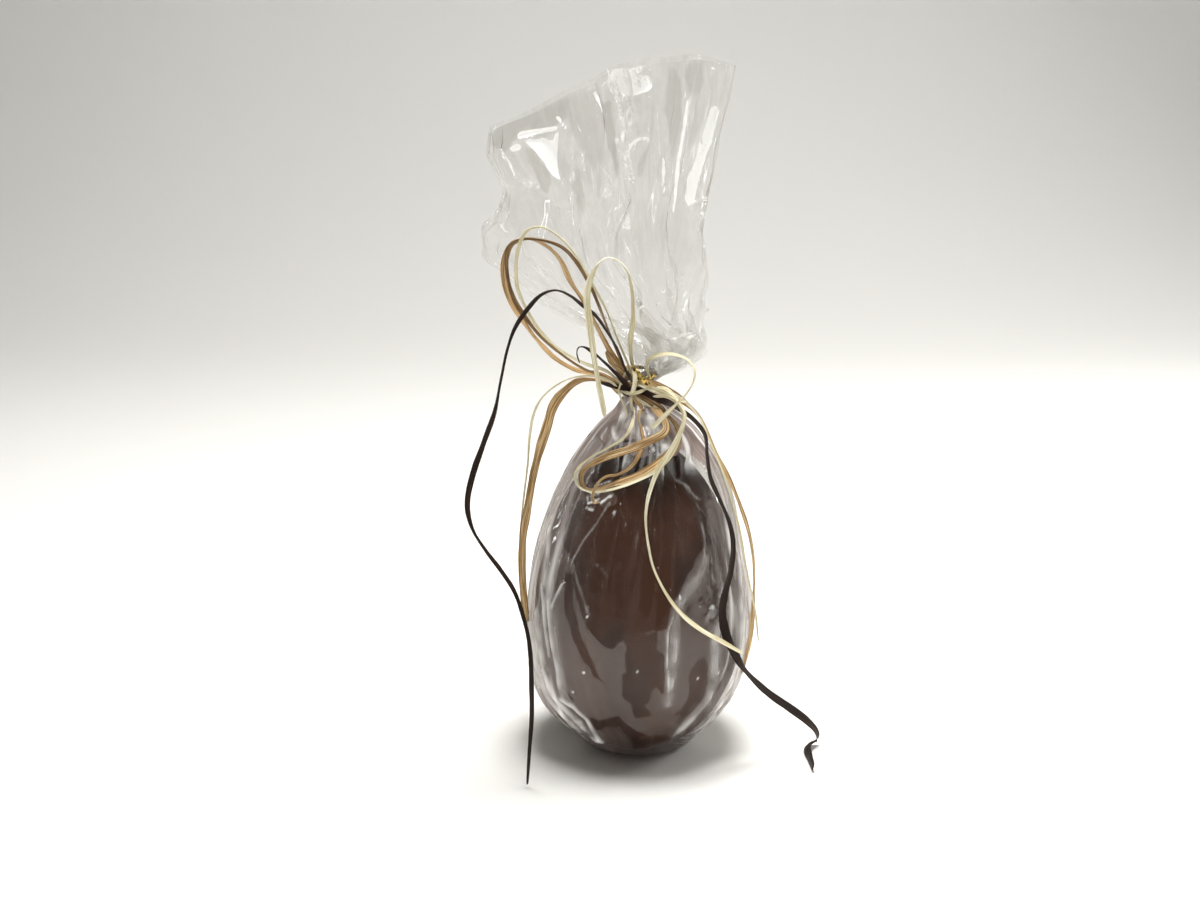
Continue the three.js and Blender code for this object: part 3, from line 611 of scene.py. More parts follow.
def loose_meridian(step):
    """Radius and height of the loose bag, foot to mouth, evenly spaced."""
    fine = [(FOOT_RADIUS, 0.0)]
    for index in range(1, BELLY_STEPS + 1):
        turn = index / BELLY_STEPS * math.pi / 2
        radius = FOOT_RADIUS + (BODY_RADIUS - FOOT_RADIUS) * math.sin(turn) ** BELLY_POWER
        fine.append((radius, BELLY_HEIGHT * (1 - math.cos(turn) ** BELLY_POWER)))
    fine += [(BODY_RADIUS, SLEEVE_NECK), (BODY_RADIUS, SLEEVE_TOP)]
    points = [Vector((radius, 0, height)) for radius, height in fine]
    lengths = [0.0]
    for low, high in zip(points, points[1:]):
        lengths.append(lengths[-1] + (high - low).length)
    count = int(lengths[-1] / step)
    rows = []
    place = 0
    for index in range(count + 1):
        wanted = lengths[-1] * index / count
        while place < len(points) - 2 and lengths[place + 1] < wanted:
            place += 1
        share = (wanted - lengths[place]) / (lengths[place + 1] - lengths[place])
        even = points[place].lerp(points[place + 1], share)
        rows.append((even.x, even.z))
    return rows


def pleat(angle):
    """Uneven pleats round the bag, between -1 and 1."""
    return 0.35 * math.cos(7 * angle + 1) + 0.65 * math.cos(13 * angle + 0.8 * math.sin(2 * angle))


def crease(angle):
    """1 in the crease between the crown's two lobes, 0 away from it."""
    across = (1 + math.cos(angle)) / 2
    return math.exp(-(((across - 0.44) / 0.09) ** 2))


def loose_point(angle, radius, height):
    """The loose bag before it is gathered: round below, flattened and pleated above, in millimetres."""
    flat = smooth_step(*SLEEVE_FROM, height)
    x = SLEEVE_MIDDLE + SLEEVE_HALF_WIDTH * math.cos(angle) + 4.2 * math.sin(16 * angle + 0.6)
    y = (SLEEVE_HALF_DEPTH * (1 - 0.45 * crease(angle)) + 3 * pleat(angle)) * math.sin(angle)
    y += 5.5 * math.cos(8 * angle) * abs(math.sin(angle)) ** 0.5
    return Vector((
        radius * math.cos(angle) * (1 - flat) + x * flat,
        radius * math.sin(angle) * (1 - flat) + y * flat,
        height,
    ))


def gathered_point(angle, height):
    """Where the neck's rows are drawn to, in millimetres."""
    radius = NECK_RADIUS + 1.2 * math.cos(31 * angle + 0.7 * math.sin(3 * angle))
    return Vector((radius * math.cos(angle), radius * math.sin(angle), height - NECK_DROP))


def gather_bag(columns, step):
    """Cloth simulation: the loose bag is drawn in at the neck round the egg. Returns the mesh, in metres."""
    meridian = loose_meridian(step)
    bm = straight_tube(columns, len(meridian) - 1, False)
    stations = {}
    for vertex in bm.verts:
        row, side = station(vertex, columns)
        stations[vertex.index] = (row, 2 * math.pi * side / columns)
        vertex.co = loose_point(stations[vertex.index][1], *meridian[row]) * MM * SIM_SCALE
    mesh = bpy.data.meshes.new("loose_bag")
    bm.to_mesh(mesh)
    bm.free()
    bag = bpy.data.objects.new("loose_bag", mesh)
    bpy.context.scene.collection.objects.link(bag)
    pins = bag.vertex_groups.new(name="pins")
    bag.shape_key_add(name="Basis")
    key = bag.shape_key_add(name="gathered")
    for index, (row, angle) in stations.items():
        height = meridian[row][1]
        if height < 2:
            pins.add([index], 1.0, "REPLACE")
        if NECK_ROWS[0] <= height <= NECK_ROWS[1]:
            pins.add([index], 1.0, "REPLACE")
            key.data[index].co = gathered_point(angle, height) * MM * SIM_SCALE
    core = collision_egg()
    cloth = bag.modifiers.new("cloth", "CLOTH")
    set_film_stiffness(cloth)
    key.value = 0
    key.keyframe_insert("value", frame=1)
    key.value = 1
    key.keyframe_insert("value", frame=GATHER_FRAMES)
    scene = bpy.context.scene
    scene.frame_start = 1
    scene.frame_end = LAST_FRAME
    for number in range(1, LAST_FRAME + 1):
        scene.frame_set(number)
    evaluated = bag.evaluated_get(bpy.context.evaluated_depsgraph_get())
    gathered = bpy.data.meshes.new_from_object(evaluated)
    scene.frame_set(1)
    bpy.data.objects.remove(bag)
    bpy.data.objects.remove(core)
    return gathered, stations, meridian


def collision_egg():
    """The egg at the simulation's scale, for the film to rest on."""
    bm = bmesh.new()
    bmesh.ops.create_uvsphere(bm, u_segments=64, v_segments=48, radius=1)
    for vertex in bm.verts:
        reach = (EGG_LOWER if vertex.co.z < 0 else EGG_UPPER)[0]
        height = max(0.0, EGG_WIDEST_HEIGHT + vertex.co.z * reach)
        flat = math.hypot(vertex.co.x, vertex.co.y) or 1
        radius = egg_radius(height, EGG_RADIUS)
        place = Vector((vertex.co.x / flat * radius, vertex.co.y / flat * radius, height))
        vertex.co = place * MM * SIM_SCALE
    mesh = bpy.data.meshes.new("collision_egg")
    bm.to_mesh(mesh)
    bm.free()
    core = bpy.data.objects.new("collision_egg", mesh)
    bpy.context.scene.collection.objects.link(core)
    core.modifiers.new("collision", "COLLISION")
    core.collision.thickness_outer = 0.002
    core.collision.cloth_friction = 2
    return core


def set_film_stiffness(cloth):
    """Thin crisp film: hard to stretch, quick to settle, and without weight."""
    cloth.point_cache.frame_start = 1
    cloth.point_cache.frame_end = LAST_FRAME
    settings = cloth.settings
    settings.quality = 5
    settings.mass = 0.02
    settings.tension_stiffness = 60
    settings.compression_stiffness = 60
    settings.shear_stiffness = 40
    settings.bending_stiffness = 0.5
    settings.tension_damping = 10
    settings.compression_damping = 10
    settings.shear_damping = 10
    settings.bending_damping = 1
    settings.air_damping = 2
    settings.vertex_group_mass = "pins"
    settings.pin_stiffness = 50
    settings.effector_weights.gravity = 0
    cloth.collision_settings.use_collision = True
    cloth.collision_settings.distance_min = 0.004
    cloth.collision_settings.collision_quality = 2
    cloth.collision_settings.use_self_collision = False


def crown_spans(points):
    """The crown's left and right edge and its half depth at each height, as the gathering left it."""
    spans = []
    for height in range(160, 300, 3):
        level = [point for point in points if abs(point.z - height) < 4]
        if len(level) > 8:
            across = [point.x for point in level]
            spans.append((height, min(across), max(across), max(abs(point.y) for point in level)))
    return spans


def open_crown(points, stations):
    """Draw the gathered crown out to its real outline, with its columns straighter, and trim its mouth."""
    spans = crown_spans([point for point in points if point.z > 155])
    columns = {}
    for index, (_, angle) in stations.items():
        point = points[index]
        opened = smooth_step(*CROWN_SPREADS, point.z)
        if opened == 0:
            continue
        left, right, depth = (between(spans, point.z, column) for column in (1, 2, 3))
        new_left, new_right, new_depth = (between(CROWN_EDGES, point.z, column) for column in (1, 2, 3))
        straighter = CROWN_STRAIGHTNESS * smooth_step(*CROWN_STRAIGHTENS, point.z)
        across = (point.x - left) / (right - left)
        plain = (1 + math.cos(angle + 0.2 * math.sin(3 * angle + 1))) / 2
        across += straighter * (plain - across)
        out = point.y / depth
        out += straighter * (math.sin(angle) * (1 - 0.4 * crease(angle)) - out)
        point.x += opened * (new_left + across * (new_right - new_left) - point.x)
        point.y += opened * (out * new_depth - point.y)
        columns.setdefault(round(angle, 4), []).append(index)
    for column in columns.values():
        top = max((points[index] for index in column), key=lambda point: point.z)
        trimmed = (CROWN_TRIMMED_FROM, top.z + 25)
        rise = between(CROWN_MOUTH, top.x, 1) - top.z
        whole = smooth_step(*trimmed, top.z)
        for index in column:
            points[index].z += rise * smooth_step(*trimmed, points[index].z) / whole


def facets(across, along, seed):
    """Flat facets with sharp creases between them, from -1 to 1, one for each unit of across and along."""
    columns, rows = 97, 89
    heights = np.random.default_rng(seed).uniform(-1, 1, (columns, rows))
    column, row = np.floor(across).astype(int), np.floor(along).astype(int)
    right, up = across - column, along - row
    corner = {(i, j): heights[(column + i) % columns, (row + j) % rows] for i in (0, 1) for j in (0, 1)}
    near, far = corner[0, 0], corner[1, 1]
    low = near + right * (corner[1, 0] - near) + up * (corner[0, 1] - near)
    high = far + (1 - right) * (corner[0, 1] - far) + (1 - up) * (corner[1, 0] - far)
    return np.where(right + up < 1, low, high)


def film_piece(gathered, stations, rows, points, name, material):
    """The part of the gathered film between two rows, smoothed and with each face divided in four."""
    bm = bmesh.new()
    bm.from_mesh(gathered)
    bm.verts.ensure_lookup_table()
    for vertex, point in zip(bm.verts, points):
        vertex.co = point * MM
    spare = [vertex for vertex in bm.verts if not rows[0] <= stations[vertex.index][0] <= rows[1]]
    bmesh.ops.delete(bm, geom=spare, context="VERTS")
    bmesh.ops.smooth_vert(bm, verts=bm.verts, factor=0.3, use_axis_x=True, use_axis_y=True, use_axis_z=True)
    bmesh.ops.recalc_face_normals(bm, faces=bm.faces)
    piece = object_from(bm, name, material)
    finer = piece.modifiers.new("finer", "SUBSURF")
    finer.levels = 1
    finer.render_levels = 1
    evaluated = piece.evaluated_get(bpy.context.evaluated_depsgraph_get())
    mesh = bpy.data.meshes.new_from_object(evaluated)
    piece.modifiers.clear()
    piece.data = mesh
    mesh.name = name
    return piece


class FilmSettings(bpy.types.PropertyGroup):
    milk: colour_property("Milk", "Colour of hazy film", (0.3, 0.236, 0.21))
    crown_milk: colour_property("Crown milk", "Colour of the crown's haze", (0.6, 0.585, 0.55))
    # Colour of the painted highlights on folds, glints and the film's sides
    white: colour_property("White", "Colour of whitened folds", (0.88, 0.87, 0.84))
    crease: FloatProperty(
        name="Crease", description="Depth of the crown's creases", subtype="DISTANCE", unit="LENGTH",
        default=0.0026)


class BAGGED_EGG_OT_film(bpy.types.Operator):
    """Gather the film bag round the egg"""

    bl_idname = "bagged_egg.film"
    bl_label = "Film Bag"

    def execute(self, context):
        settings = context.scene.bagged_egg_film
        columns, step = ((192, 2.1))
        gathered, stations, meridian = gather_bag(columns, step)
        points = [vertex.co / MM / SIM_SCALE for vertex in gathered.vertices]
        if max(point.z for point in points) < GATHERED_HEIGHT:
            raise RuntimeError("the film wasn't gathered")
        open_crown(points, stations)
        neck = max(row for row, (_, height) in enumerate(meridian) if height < sum(NECK_ROWS) / 2)
        for name, rows in (("film_body", (0, neck)), ("film_crown", (neck, len(meridian)))):
            piece = film_piece(gathered, stations, rows, points, name, film_finish(name, settings))
            if name == "film_crown":
                bend_crown(piece, settings)
            else:
                lay_body(piece)
            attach(piece, "root")
            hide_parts("bag")
        return {"FINISHED"}


def mesh_points(mesh):
    """The vertices in millimetres, one row each."""
    points = np.empty(len(mesh.vertices) * 3)
    mesh.vertices.foreach_get("co", points)
    return points.reshape(-1, 3) / MM


def mesh_normals(mesh):
    normals = np.empty(len(mesh.vertices) * 3)
    mesh.vertex_normals.foreach_get("vector", normals)
    return normals.reshape(-1, 3)


def move_points(mesh, points):
    """Put the vertices at places in millimetres."""
    mesh.vertices.foreach_set("co", (points * MM).ravel())
    mesh.update()


def smooth_steps(low, high, values):
    share = np.clip((values - low) / (high - low), 0, 1)
    return share * share * (3 - 2 * share)


def mark_film(mesh, lay, **marks):
    """Store what the film's finish reads: haze, painted highlights, painted shade, and places that run along
    its folds.
    """
    for name, values in marks.items():
        attribute = mesh.attributes.new(name, "FLOAT", "POINT")
        attribute.data.foreach_set("value", values.astype(np.float32))
    attribute = mesh.attributes.new("lay", "FLOAT_VECTOR", "POINT")
    attribute.data.foreach_set("vector", lay.astype(np.float32).ravel())


def waves(points, size, seed):
    """Soft noise from about -1 to 1, for lumps a given size in millimetres."""
    shift = Vector((7.3, 1.9, 4.4)) * seed
    return np.array([noise.noise(Vector(point) / size + shift) for point in points])


# Painted shade in panes at the front of the crown: how dark, and an outline of places across and heights
CROWN_SHADE_PANES = [
    (0.9, [(-56.9, 268.2), (-48.4, 270.5), (-44.8, 273.4), (-41.6, 273.1), (-37.6, 277.4), (-35.7, 276.3),
        (-33.7, 278.2), (-29.4, 278.9), (-29.9, 271.5), (-32.6, 269.2), (-38.1, 267.3), (-43.7, 265.6),
        (-49.7, 263.5), (-53, 260.1), (-54.7, 257.2), (-57.5, 258.2), (-61.2, 259.5), (-61.5, 262.7)]),
    (0.6, [(-29.4, 278.9), (-21.2, 281.6), (-20, 277.7), (-18.1, 268.8), (-16.9, 258.7), (-18.1, 253),
        (-20.1, 249.7), (-21.7, 254.4), (-24.8, 259.3), (-27.2, 264.2), (-29.1, 269.1)]),
    (1, [(-19.2, 281.5), (-15.3, 275.9), (-12.6, 277.7), (-12.2, 269.2), (-10.2, 260.8), (-8.2, 252.2),
        (-8.6, 245.8), (-10.2, 248.9), (-12.5, 257.5), (-15.3, 265.1), (-17.3, 273.5)]),
    (0.9, [(-47.3, 260), (-43.4, 258.6), (-39.4, 253.9), (-35.5, 246.4), (-37.2, 241.6), (-40.3, 243.1),
        (-41.5, 248.6), (-45, 254.1)]),
    (0.8, [(-25.6, 252.3), (-23.3, 246.6), (-21.7, 236.4), (-22.5, 231.2), (-25.7, 237), (-27.2, 243)]),
    (0.8, [(17.1, 291.6), (21, 293.8), (23.9, 291.4), (24, 284.4), (21.3, 279.8), (17.6, 281.5),
        (15.6, 286.2)]),
    (0.8, [(10.4, 291), (12.8, 289.4), (14.4, 284.7), (15, 274.6), (13.5, 262.8), (11.6, 253),
        (10.7, 262.9), (9.4, 275.5), (9.7, 284)]),
    (0.6, [(20.1, 279.1), (21.7, 276.7), (21.5, 267.2), (18.8, 257.8), (17.2, 259.5), (18.6, 268.9)]),
    (0.8, [(1.6, 260.8), (3.2, 260.8), (1.3, 255.3), (-0.7, 249.8), (-2.6, 248.2), (-2.3, 253),
        (-0.7, 257.7)]),
    (0.5, [(2.7, 271.7), (5.5, 270.9), (5.5, 266.2), (3.6, 263.9), (2, 267.1)]),
    (0.35, [(-3.4, 238.2), (1, 240.2), (5, 237.6), (9.1, 234.2), (13.5, 235.6), (17.6, 232.8), (18.2, 227),
        (19.9, 221.9), (18.8, 213.1), (16.7, 210.8), (16.9, 197.4), (14.2, 189.1), (7.7, 179.8),
        (1.6, 175.2), (-2, 178.1), (-3.1, 193.9), (-2.4, 210.8), (-3.3, 224.9)]),
    (0.7, [(30.9, 258.2), (32.3, 260.2), (30, 249), (26.3, 239.2), (24.9, 241.1), (27.7, 248.9)]),
]

# Painted highlights on the front of the crown, white glints on its facets: how bright, and an outline
CROWN_GLINTS = [
    (1, [(-44.8, 274.5), (-43.2, 276.5), (-40, 277.4), (-37.6, 279.3), (-37.6, 277.4), (-40.4, 274.7),
        (-42.8, 273.4), (-44.8, 273.4)]),
    (1, [(-50.1, 263.5), (-49.3, 265.1), (-44.5, 266), (-39.3, 267.3), (-34.2, 268.1), (-32.6, 267.3),
        (-34.2, 266.1), (-39.3, 265.4), (-43.7, 264.1), (-49.3, 262.7)]),
    (0.9, [(-53.4, 258.5), (-51.7, 260.2), (-49.3, 261.1), (-48.1, 259.6), (-49.4, 257.9), (-52.2, 257.4)]),
    (0.8, [(-47.7, 262.4), (-43.3, 262.5), (-40.1, 263.4), (-35.4, 262.2), (-34.2, 265.4), (-32.6, 266.1),
        (-33.1, 259.1), (-33.5, 253.2), (-32.3, 246.4), (-35.5, 248.8), (-39, 253.5), (-42.6, 258.2)]),
    (0.5, [(-49.6, 245.3), (-44.7, 246.4), (-40.3, 244.6), (-40.7, 243), (-46, 243.9)]),
    (0.4, [(-34.4, 236.8), (-29.3, 236.5), (-29.3, 234.9), (-34.4, 235.6)]),
    (0.7, [(-13.3, 287.9), (-8.3, 291.6), (-2.9, 293.7), (1, 293.4), (-1.3, 289.5), (-6, 285.6),
        (-9.1, 281.7), (-12.2, 279.2), (-13.7, 282.9)]),
    (0.5, [(-7.1, 277.2), (-3.6, 274.9), (-2, 267.9), (-5.1, 265.6), (-7.1, 270.2)]),
    (0.66, [(-14, 282.5), (-9, 286), (-2, 288), (4.5, 287.5), (5.5, 284), (1, 281.5), (-6, 279.5),
        (-12, 280)]),
    (0.85, [(27.8, 275.6), (30.7, 275.3), (30.8, 272.1), (27.8, 262), (23.9, 250.2), (20.9, 236.6),
        (18.4, 235.2), (16.7, 238.6), (17.4, 245.9), (20.9, 254.5), (24.4, 266.3)]),
    (0.35, [(-17.7, 249), (-13.7, 251), (-9.8, 248.9), (-9.7, 237.4), (-12.9, 234.1), (-16.1, 235.7),
        (-18.1, 242.5)]),
    (0.7, [(-8.1, 233.8), (-6.5, 233), (-5.3, 227.4), (-6.9, 226.2), (-8.5, 229)]),
    (0.4, [(-25.7, 227.9), (-22.9, 228.3), (-22.1, 224.8), (-24.9, 223.8)]),
]

# Painted highlights along creases and in dots on the front of the crown: how bright, half width, and a path
CROWN_GLINT_STREAKS = [
    (1, 0.46, [(-56.3, 257.5), (-53.5, 253.6), (-50.8, 248)]),
    (0.9, 0.42, [(-61.2, 237.9), (-58.8, 234.6)]),
    (0.8, 0.34, [(-56.3, 227.8), (-53.9, 224.5)]),
    (1, 0.55, [(-33.4, 271.6), (-29.5, 266.7)]),
    (0.7, 0.68, [(-20.4, 280.4), (-18.5, 275.7), (-16.9, 271.6)]),
    (0.55, 1.1, [(-11, 278.5), (-8.2, 267.9), (-5.8, 255.4), (-5.4, 248.3)]),
    (0.8, 0.59, [(-5.9, 259.3), (-4.3, 261.7), (-0.8, 263.6), (3.6, 262.7)]),
    (1, 0.68, [(17.3, 277.6), (15.9, 267.5), (13.6, 252.9), (11.9, 233.6)]),
    (0.9, 0.46, [(8.8, 255.1), (8.6, 241.5)]),
    (1, 0.42, [(18.4, 237.3), (23.3, 237.6), (28.2, 237.9)]),
    (0.6, 0.34, [(-8.4, 206.7), (-6.4, 204.2)]),
    (0.6, 0.3, [(-44.3, 213), (-37.5, 205)]),
    (0.45, 0.68, [(-26.4, 262.5), (-27.6, 254.8), (-26, 246.9)]),
    (0.5, 0.42, [(-23.6, 258.4), (-22.9, 250.5)]),
    (1, 0.6, [(13.5, 180.4), (21.5, 182)]),
    (0.9, 0.45, [(9, 170.4), (11.5, 172.6)]),
    (0.9, 0.5, [(14.6, 162.4), (16.6, 164.2)]),
    (0.7, 0.4, [(19, 168.5), (21.2, 172)]),
    (0.5, 0.35, [(16.8, 159.8), (24.5, 166.4), (29, 172)]),
    (0.35, 0.34, [(21.1, 222.2), (16.7, 212), (16.6, 193.6), (9.4, 179.2)]),
    (0.35, 0.34, [(-20, 280.4), (-15.3, 267.5), (-9.8, 253.3), (-5.7, 227.4)]),
    (1, 0.76, [(24.8, 231.1), (24.8, 231.4)]),
    (0.9, 1.27, [(19.8, 295), (19.8, 295.3)]),
    (0.8, 0.63, [(9.1, 200.1), (9.1, 200.4)]),
    (0.8, 0.55, [(-2.7, 194.8), (-2.7, 195.1)]),
    (0.7, 0.55, [(7.1, 195.5), (7.1, 195.8)]),
    (0.7, 0.63, [(-14, 197.1), (-14, 197.4)]),
    (0.6, 0.51, [(-0.9, 221.1), (-0.9, 221.4)]),
    (0.6, 0.51, [(5.6, 218.8), (5.6, 219.1)]),
    (0.9, 0.84, [(6.7, 169.3), (6.7, 169.6)]),
    (0.8, 0.68, [(2.5, 168.5), (2.5, 168.8)]),
    (0.8, 0.68, [(16.1, 159.2), (16.1, 159.5)]),
]


def crown_frill(place, level, deep, fan, reach):
    """Small crumples low on the crown's right, where the film bunches over the knot."""
    frill = smooth_steps(3, 9, place) * (1 - smooth_steps(176, 186, level)) * smooth_steps(159, 164, level)
    broad = facets(fan / 9 + deep / 5, reach / 3.4, 15)
    return 1.1 * frill * (broad + 0.5 * facets(fan / 4, deep / 2.6 + reach / 6, 16))


def bend_crown(piece, settings):
    """Crease the crown's film into long flat facets that fan out from the neck, and mark painted shade and
    highlights.
    """
    mesh = piece.data
    points, normals = mesh_points(mesh), mesh_normals(mesh)
    place, deep, level = (points[:, axis].copy() for axis in range(3))
    fan = np.degrees(np.arctan2(place, level - CROWN_ROOT))
    reach = np.hypot(place, level - CROWN_ROOT)
    opened = smooth_steps(168, 200, level)
    across, along = fan / BROAD_FOLDS[0] + deep / BROAD_FOLDS[1], reach / BROAD_FOLDS[2] + deep / 40
    finer_across, finer_along = fan / FINE_FOLDS[0] + deep / FINE_FOLDS[1], reach / FINE_FOLDS[2] + fan / 25
    depth = 1.25 * facets(across, along, 11) + 0.4 * facets(finer_across, finer_along, 12)
    front = deep < 0
    # Painted shade in the panes, painted highlights at the glints and creases
    shade, shade_edge = flat_marks(place, level, CROWN_SHADE_PANES, front)
    white, highlight_edge = crown_highlights(place, level, front)
    depth -= 0.25 * np.clip(highlight_edge + 1, 0, 1.5)
    frill = crown_frill(place, level, deep, fan, reach)
    points += normals * (settings.crease / MM * opened * depth + frill)[:, None]
    sway = 1.4 * opened * facets(across + 31, along + 17, 14)
    points[:, 0] += sway * np.clip(1 - np.abs(fan) / 60, 0.2, 1)
    move_points(mesh, points)
    streaks = waves(np.stack([fan, deep, reach * 0.12], axis=1), 3.2, 6)
    veil = 0.13 + 0.22 * np.clip(streaks, 0, 1) + 0.12 * waves(points, 22, 9)
    veil *= 0.4 + 0.6 * smooth_steps(190, 235, level)
    mark_film(
        mesh, np.stack([fan, deep, reach * 0.1], axis=1), veil=np.clip(veil, 0.02, 1), white=white,
        edge=highlight_edge, cling=shade_edge, tint=shade, inner=np.full(len(points), 0.04))


def flat_marks(place, level, shapes, front):
    """Strength of the nearest shape at each place of the crown's front, and millimetres inside it."""
    strength, inside = np.zeros(len(level)), np.full(len(level), -9.0)
    for value, outline in shapes:
        near = nearest_on_path(place, level, FLAT_RADIUS, outline + outline[:1])
        depth = np.where(inside_outline(place, level, outline), near, -near)
        strength = np.where(front & (depth > np.minimum(inside, 1)), value, strength)
        inside = np.where(front, np.maximum(inside, depth), inside)
    return strength, inside


def crown_highlights(place, level, front):
    """How bright the nearest painted glint or crease highlight is on the crown's front, and millimetres
    inside it.
    """
    white, inside = flat_marks(place, level, CROWN_GLINTS, front)
    for value, half, path in CROWN_GLINT_STREAKS:
        depth = half - nearest_on_path(place, level, FLAT_RADIUS, path)
        white = np.where(front & (depth > np.minimum(inside, 1)), value, white)
        inside = np.where(front, np.maximum(inside, depth), inside)
    return white, inside


# Where the film lies wet on the chocolate: how hazy it stays there, and an outline of places on the bag, each
# with degrees round from the front and height in millimetres
WET_PATCHES = [
    (0.0, [(-43, 92), (-38, 80), (-33, 73), (-29, 67), (-23, 62), (-19, 60), (-15, 59), (-11, 62), (-8, 65),
        (4, 67), (13, 68), (15, 76), (19, 78), (31, 94), (38, 100), (48, 97), (46, 105), (53, 114), (56, 123),
        (59, 130), (41, 138), (4, 141), (-31, 138), (-44, 132), (-46, 121), (-54, 109), (-56, 103),
        (-51, 96)]),
    (0.06, [(-8, 66), (-8, 49), (-10, 48), (-10, 38), (-8, 35), (-5, 34), (-4, 30), (-2, 26), (1, 26),
        (6, 27),
        (7, 30), (2, 33), (5, 36), (5, 40), (7, 42), (8, 43), (13, 34), (13, 46), (12, 50), (11, 57), (8, 60),
        (8, 67)]),
    (0.06, [(34, 53), (37, 50), (38, 41), (36, 34), (33, 29), (30, 26), (26, 22), (24, 20), (22, 24),
        (24, 27),
        (19, 27), (20, 29), (25, 32), (27, 38), (25, 44), (26, 49), (30, 51)]),
    (0.03, [(-46, 88), (-44, 72), (-38, 61), (-31, 52), (-24, 45), (-20, 43), (-23, 48), (-28, 56), (-34, 65),
        (-37, 72), (-41, 86)]),
    (0.03, [(-34, 23), (-21, 24), (-14, 27), (-9, 24), (-2, 20), (8, 15), (19, 16), (23, 15), (21, 12),
        (11, 10),
        (-5, 7), (-6, 12), (-9, 17), (-13, 21), (-22, 20), (-30, 16), (-32, 21)]),
    (0.25, [(-73, 41), (-64, 43), (-61, 40), (-63, 31), (-73, 28), (-75, 31)]),
]

# Folds and creases: height off the chocolate and width in millimetres, how bright the painted highlight along
# it is, or how wet where negative, and a path of places on the bag
FOLDS = [
    (1.6, 2.4, 0.22, [(38, 94), (29, 86), (20, 78), (17, 70), (17, 60), (16, 48), (15, 34)]),
    (1.4, 0.7, 0.4, [(16, 73), (13, 67), (13, 55), (15, 33)]),
    (1.8, 2.6, 0.4, [(44, 67), (40, 59), (42, 42), (40, 32), (36, 27), (27, 16)]),
    (1.4, 1.6, 0.55, [(68, 88), (63, 72), (61, 50), (60, 38), (56, 24), (45, 14)]),
    (1.0, 0.9, 0.3, [(52, 74), (53, 56), (48, 39)]),
    (1.4, 1.5, 0.35, [(75, 60), (72, 40), (64, 24), (48, 11)]),
    (1.7, 1.5, 0.7, [(-50, 29), (-42, 27), (-35, 22), (-33, 9)]),
    (1.8, 2.0, 0.5, [(-65, 66), (-60, 48), (-57, 30), (-46, 20), (-36, 9)]),
    (1.2, 1.0, 0.5, [(-56, 73), (-52, 57), (-49, 44), (-49, 30)]),
    (1.0, 1.0, 0.4, [(-63, 78), (-58, 64), (-54, 49)]),
    (1.4, 2.0, 0.45, [(-74, 62), (-68, 44), (-60, 24), (-48, 12)]),
    (1.0, 0.7, 0.5, [(-47, 82), (-50, 77), (-53, 71)]),
    (1.2, 1.5, 0.35, [(-69, 100), (-62, 89), (-61, 79)]),
    (0.3, 0.35, 0.25, [(-26, 116), (-35, 104), (-43, 92)]),
    (0.2, 0.35, 0.25, [(-27, 93), (-22, 91), (-18, 89)]),
    (0.3, 0.35, 0.25, [(31, 125), (39, 122), (47, 116)]),
    (0.3, 0.6, 0.2, [(39, 108), (39, 102), (36, 95)]),
    (0.3, 0.4, 0.22, [(-43, 92), (-34, 81), (-28, 72)]),
    (1.0, 0.45, 0.9, [(-44, 118), (-39, 116), (-35, 117)]),
    (1.0, 0.4, 0.8, [(-43, 121), (-36, 119)]),
    (1.0, 0.5, 0.9, [(-32, 116), (-28, 118)]),
    (1.0, 0.4, 0.8, [(-40, 114), (-37, 113)]),
    (1.0, 0.35, 0.7, [(-36, 123), (-30, 124)]),
    (0.0, 0.5, -3.0, [(-45, 120), (-37, 118), (-28, 121)]),
    (1.0, 2.2, 1.0, [(-50, 152), (-40, 149)]),
    (1.0, 1.5, 1.0, [(14, 148), (18, 144)]),
    (1.0, 0.9, 0.95, [(21, 139), (25, 136), (24, 134)]),
    (1.0, 0.7, 0.9, [(31, 138), (28, 135)]),
    (1.0, 0.6, 0.8, [(-4, 142), (2, 139)]),
    (1.0, 0.8, 0.8, [(-46, 144), (-36, 141)]),
    (0.8, 0.5, 0.8, [(-57, 143), (-58, 139)]),
    (0.0, 0.8, -3.0, [(-50, 68), (-49, 61), (-47, 57)]),
    (0.0, 0.7, -3.0, [(-47, 57), (-46, 49), (-44, 41)]),
    (0.0, 1.2, -3.0, [(-47, 36), (-44, 33), (-42, 30)]),
    (0.0, 0.9, -3.0, [(-64, 17), (-52, 9), (-38, 6)]),
]

# Where the film is crumpled small: degrees round from the front, height and radius in millimetres
CRUMPLES = [(39, 78, 9), (45, 72, 6), (0, 142, 8), (14, 137, 6), (-36, 119, 6), (-25, 117, 4), (-48, 14, 7)]

# Tiny blisters, each raised a little and given a painted glint: degrees round from the front, height in
# millimetres
BLISTERS = [
    (-73, 113), (-20, 113), (-26, 119), (20, 129), (-40, 35), (-31, 46), (-2, 50), (31, 44), (44, 44),
    (-29, 75), (-29, 71), (5, 140), (8, 138),
]


def nearest_on_path(around, height, radius, path):
    """Distance in millimetres from each place to a path, whose places are degrees round a radius."""
    nearest = np.full(len(height), 1e9)
    for (start, low), (end, high) in zip(path, path[1:]):
        start_x, end_x = math.radians(start) * radius, math.radians(end) * radius
        run, rise = end_x - start_x, high - low
        share = ((around - start_x) * run + (height - low) * rise) / (run * run + rise * rise + 1e-9)
        share = np.clip(share, 0, 1)
        nearest = np.minimum(nearest, np.hypot(around - start_x - share * run, height - low - share * rise))
    return nearest


def inside_outline(turn, height, outline):
    """Whether each place on the bag is inside an outline."""
    inside = np.zeros(len(height), bool)
    for (start, low), (end, high) in zip(outline, outline[1:] + outline[:1]):
        if low == high:
            continue
        crosses = (height > low) != (height > high)
        inside ^= crosses & (turn < start + (height - low) * (end - start) / (high - low))
    return inside


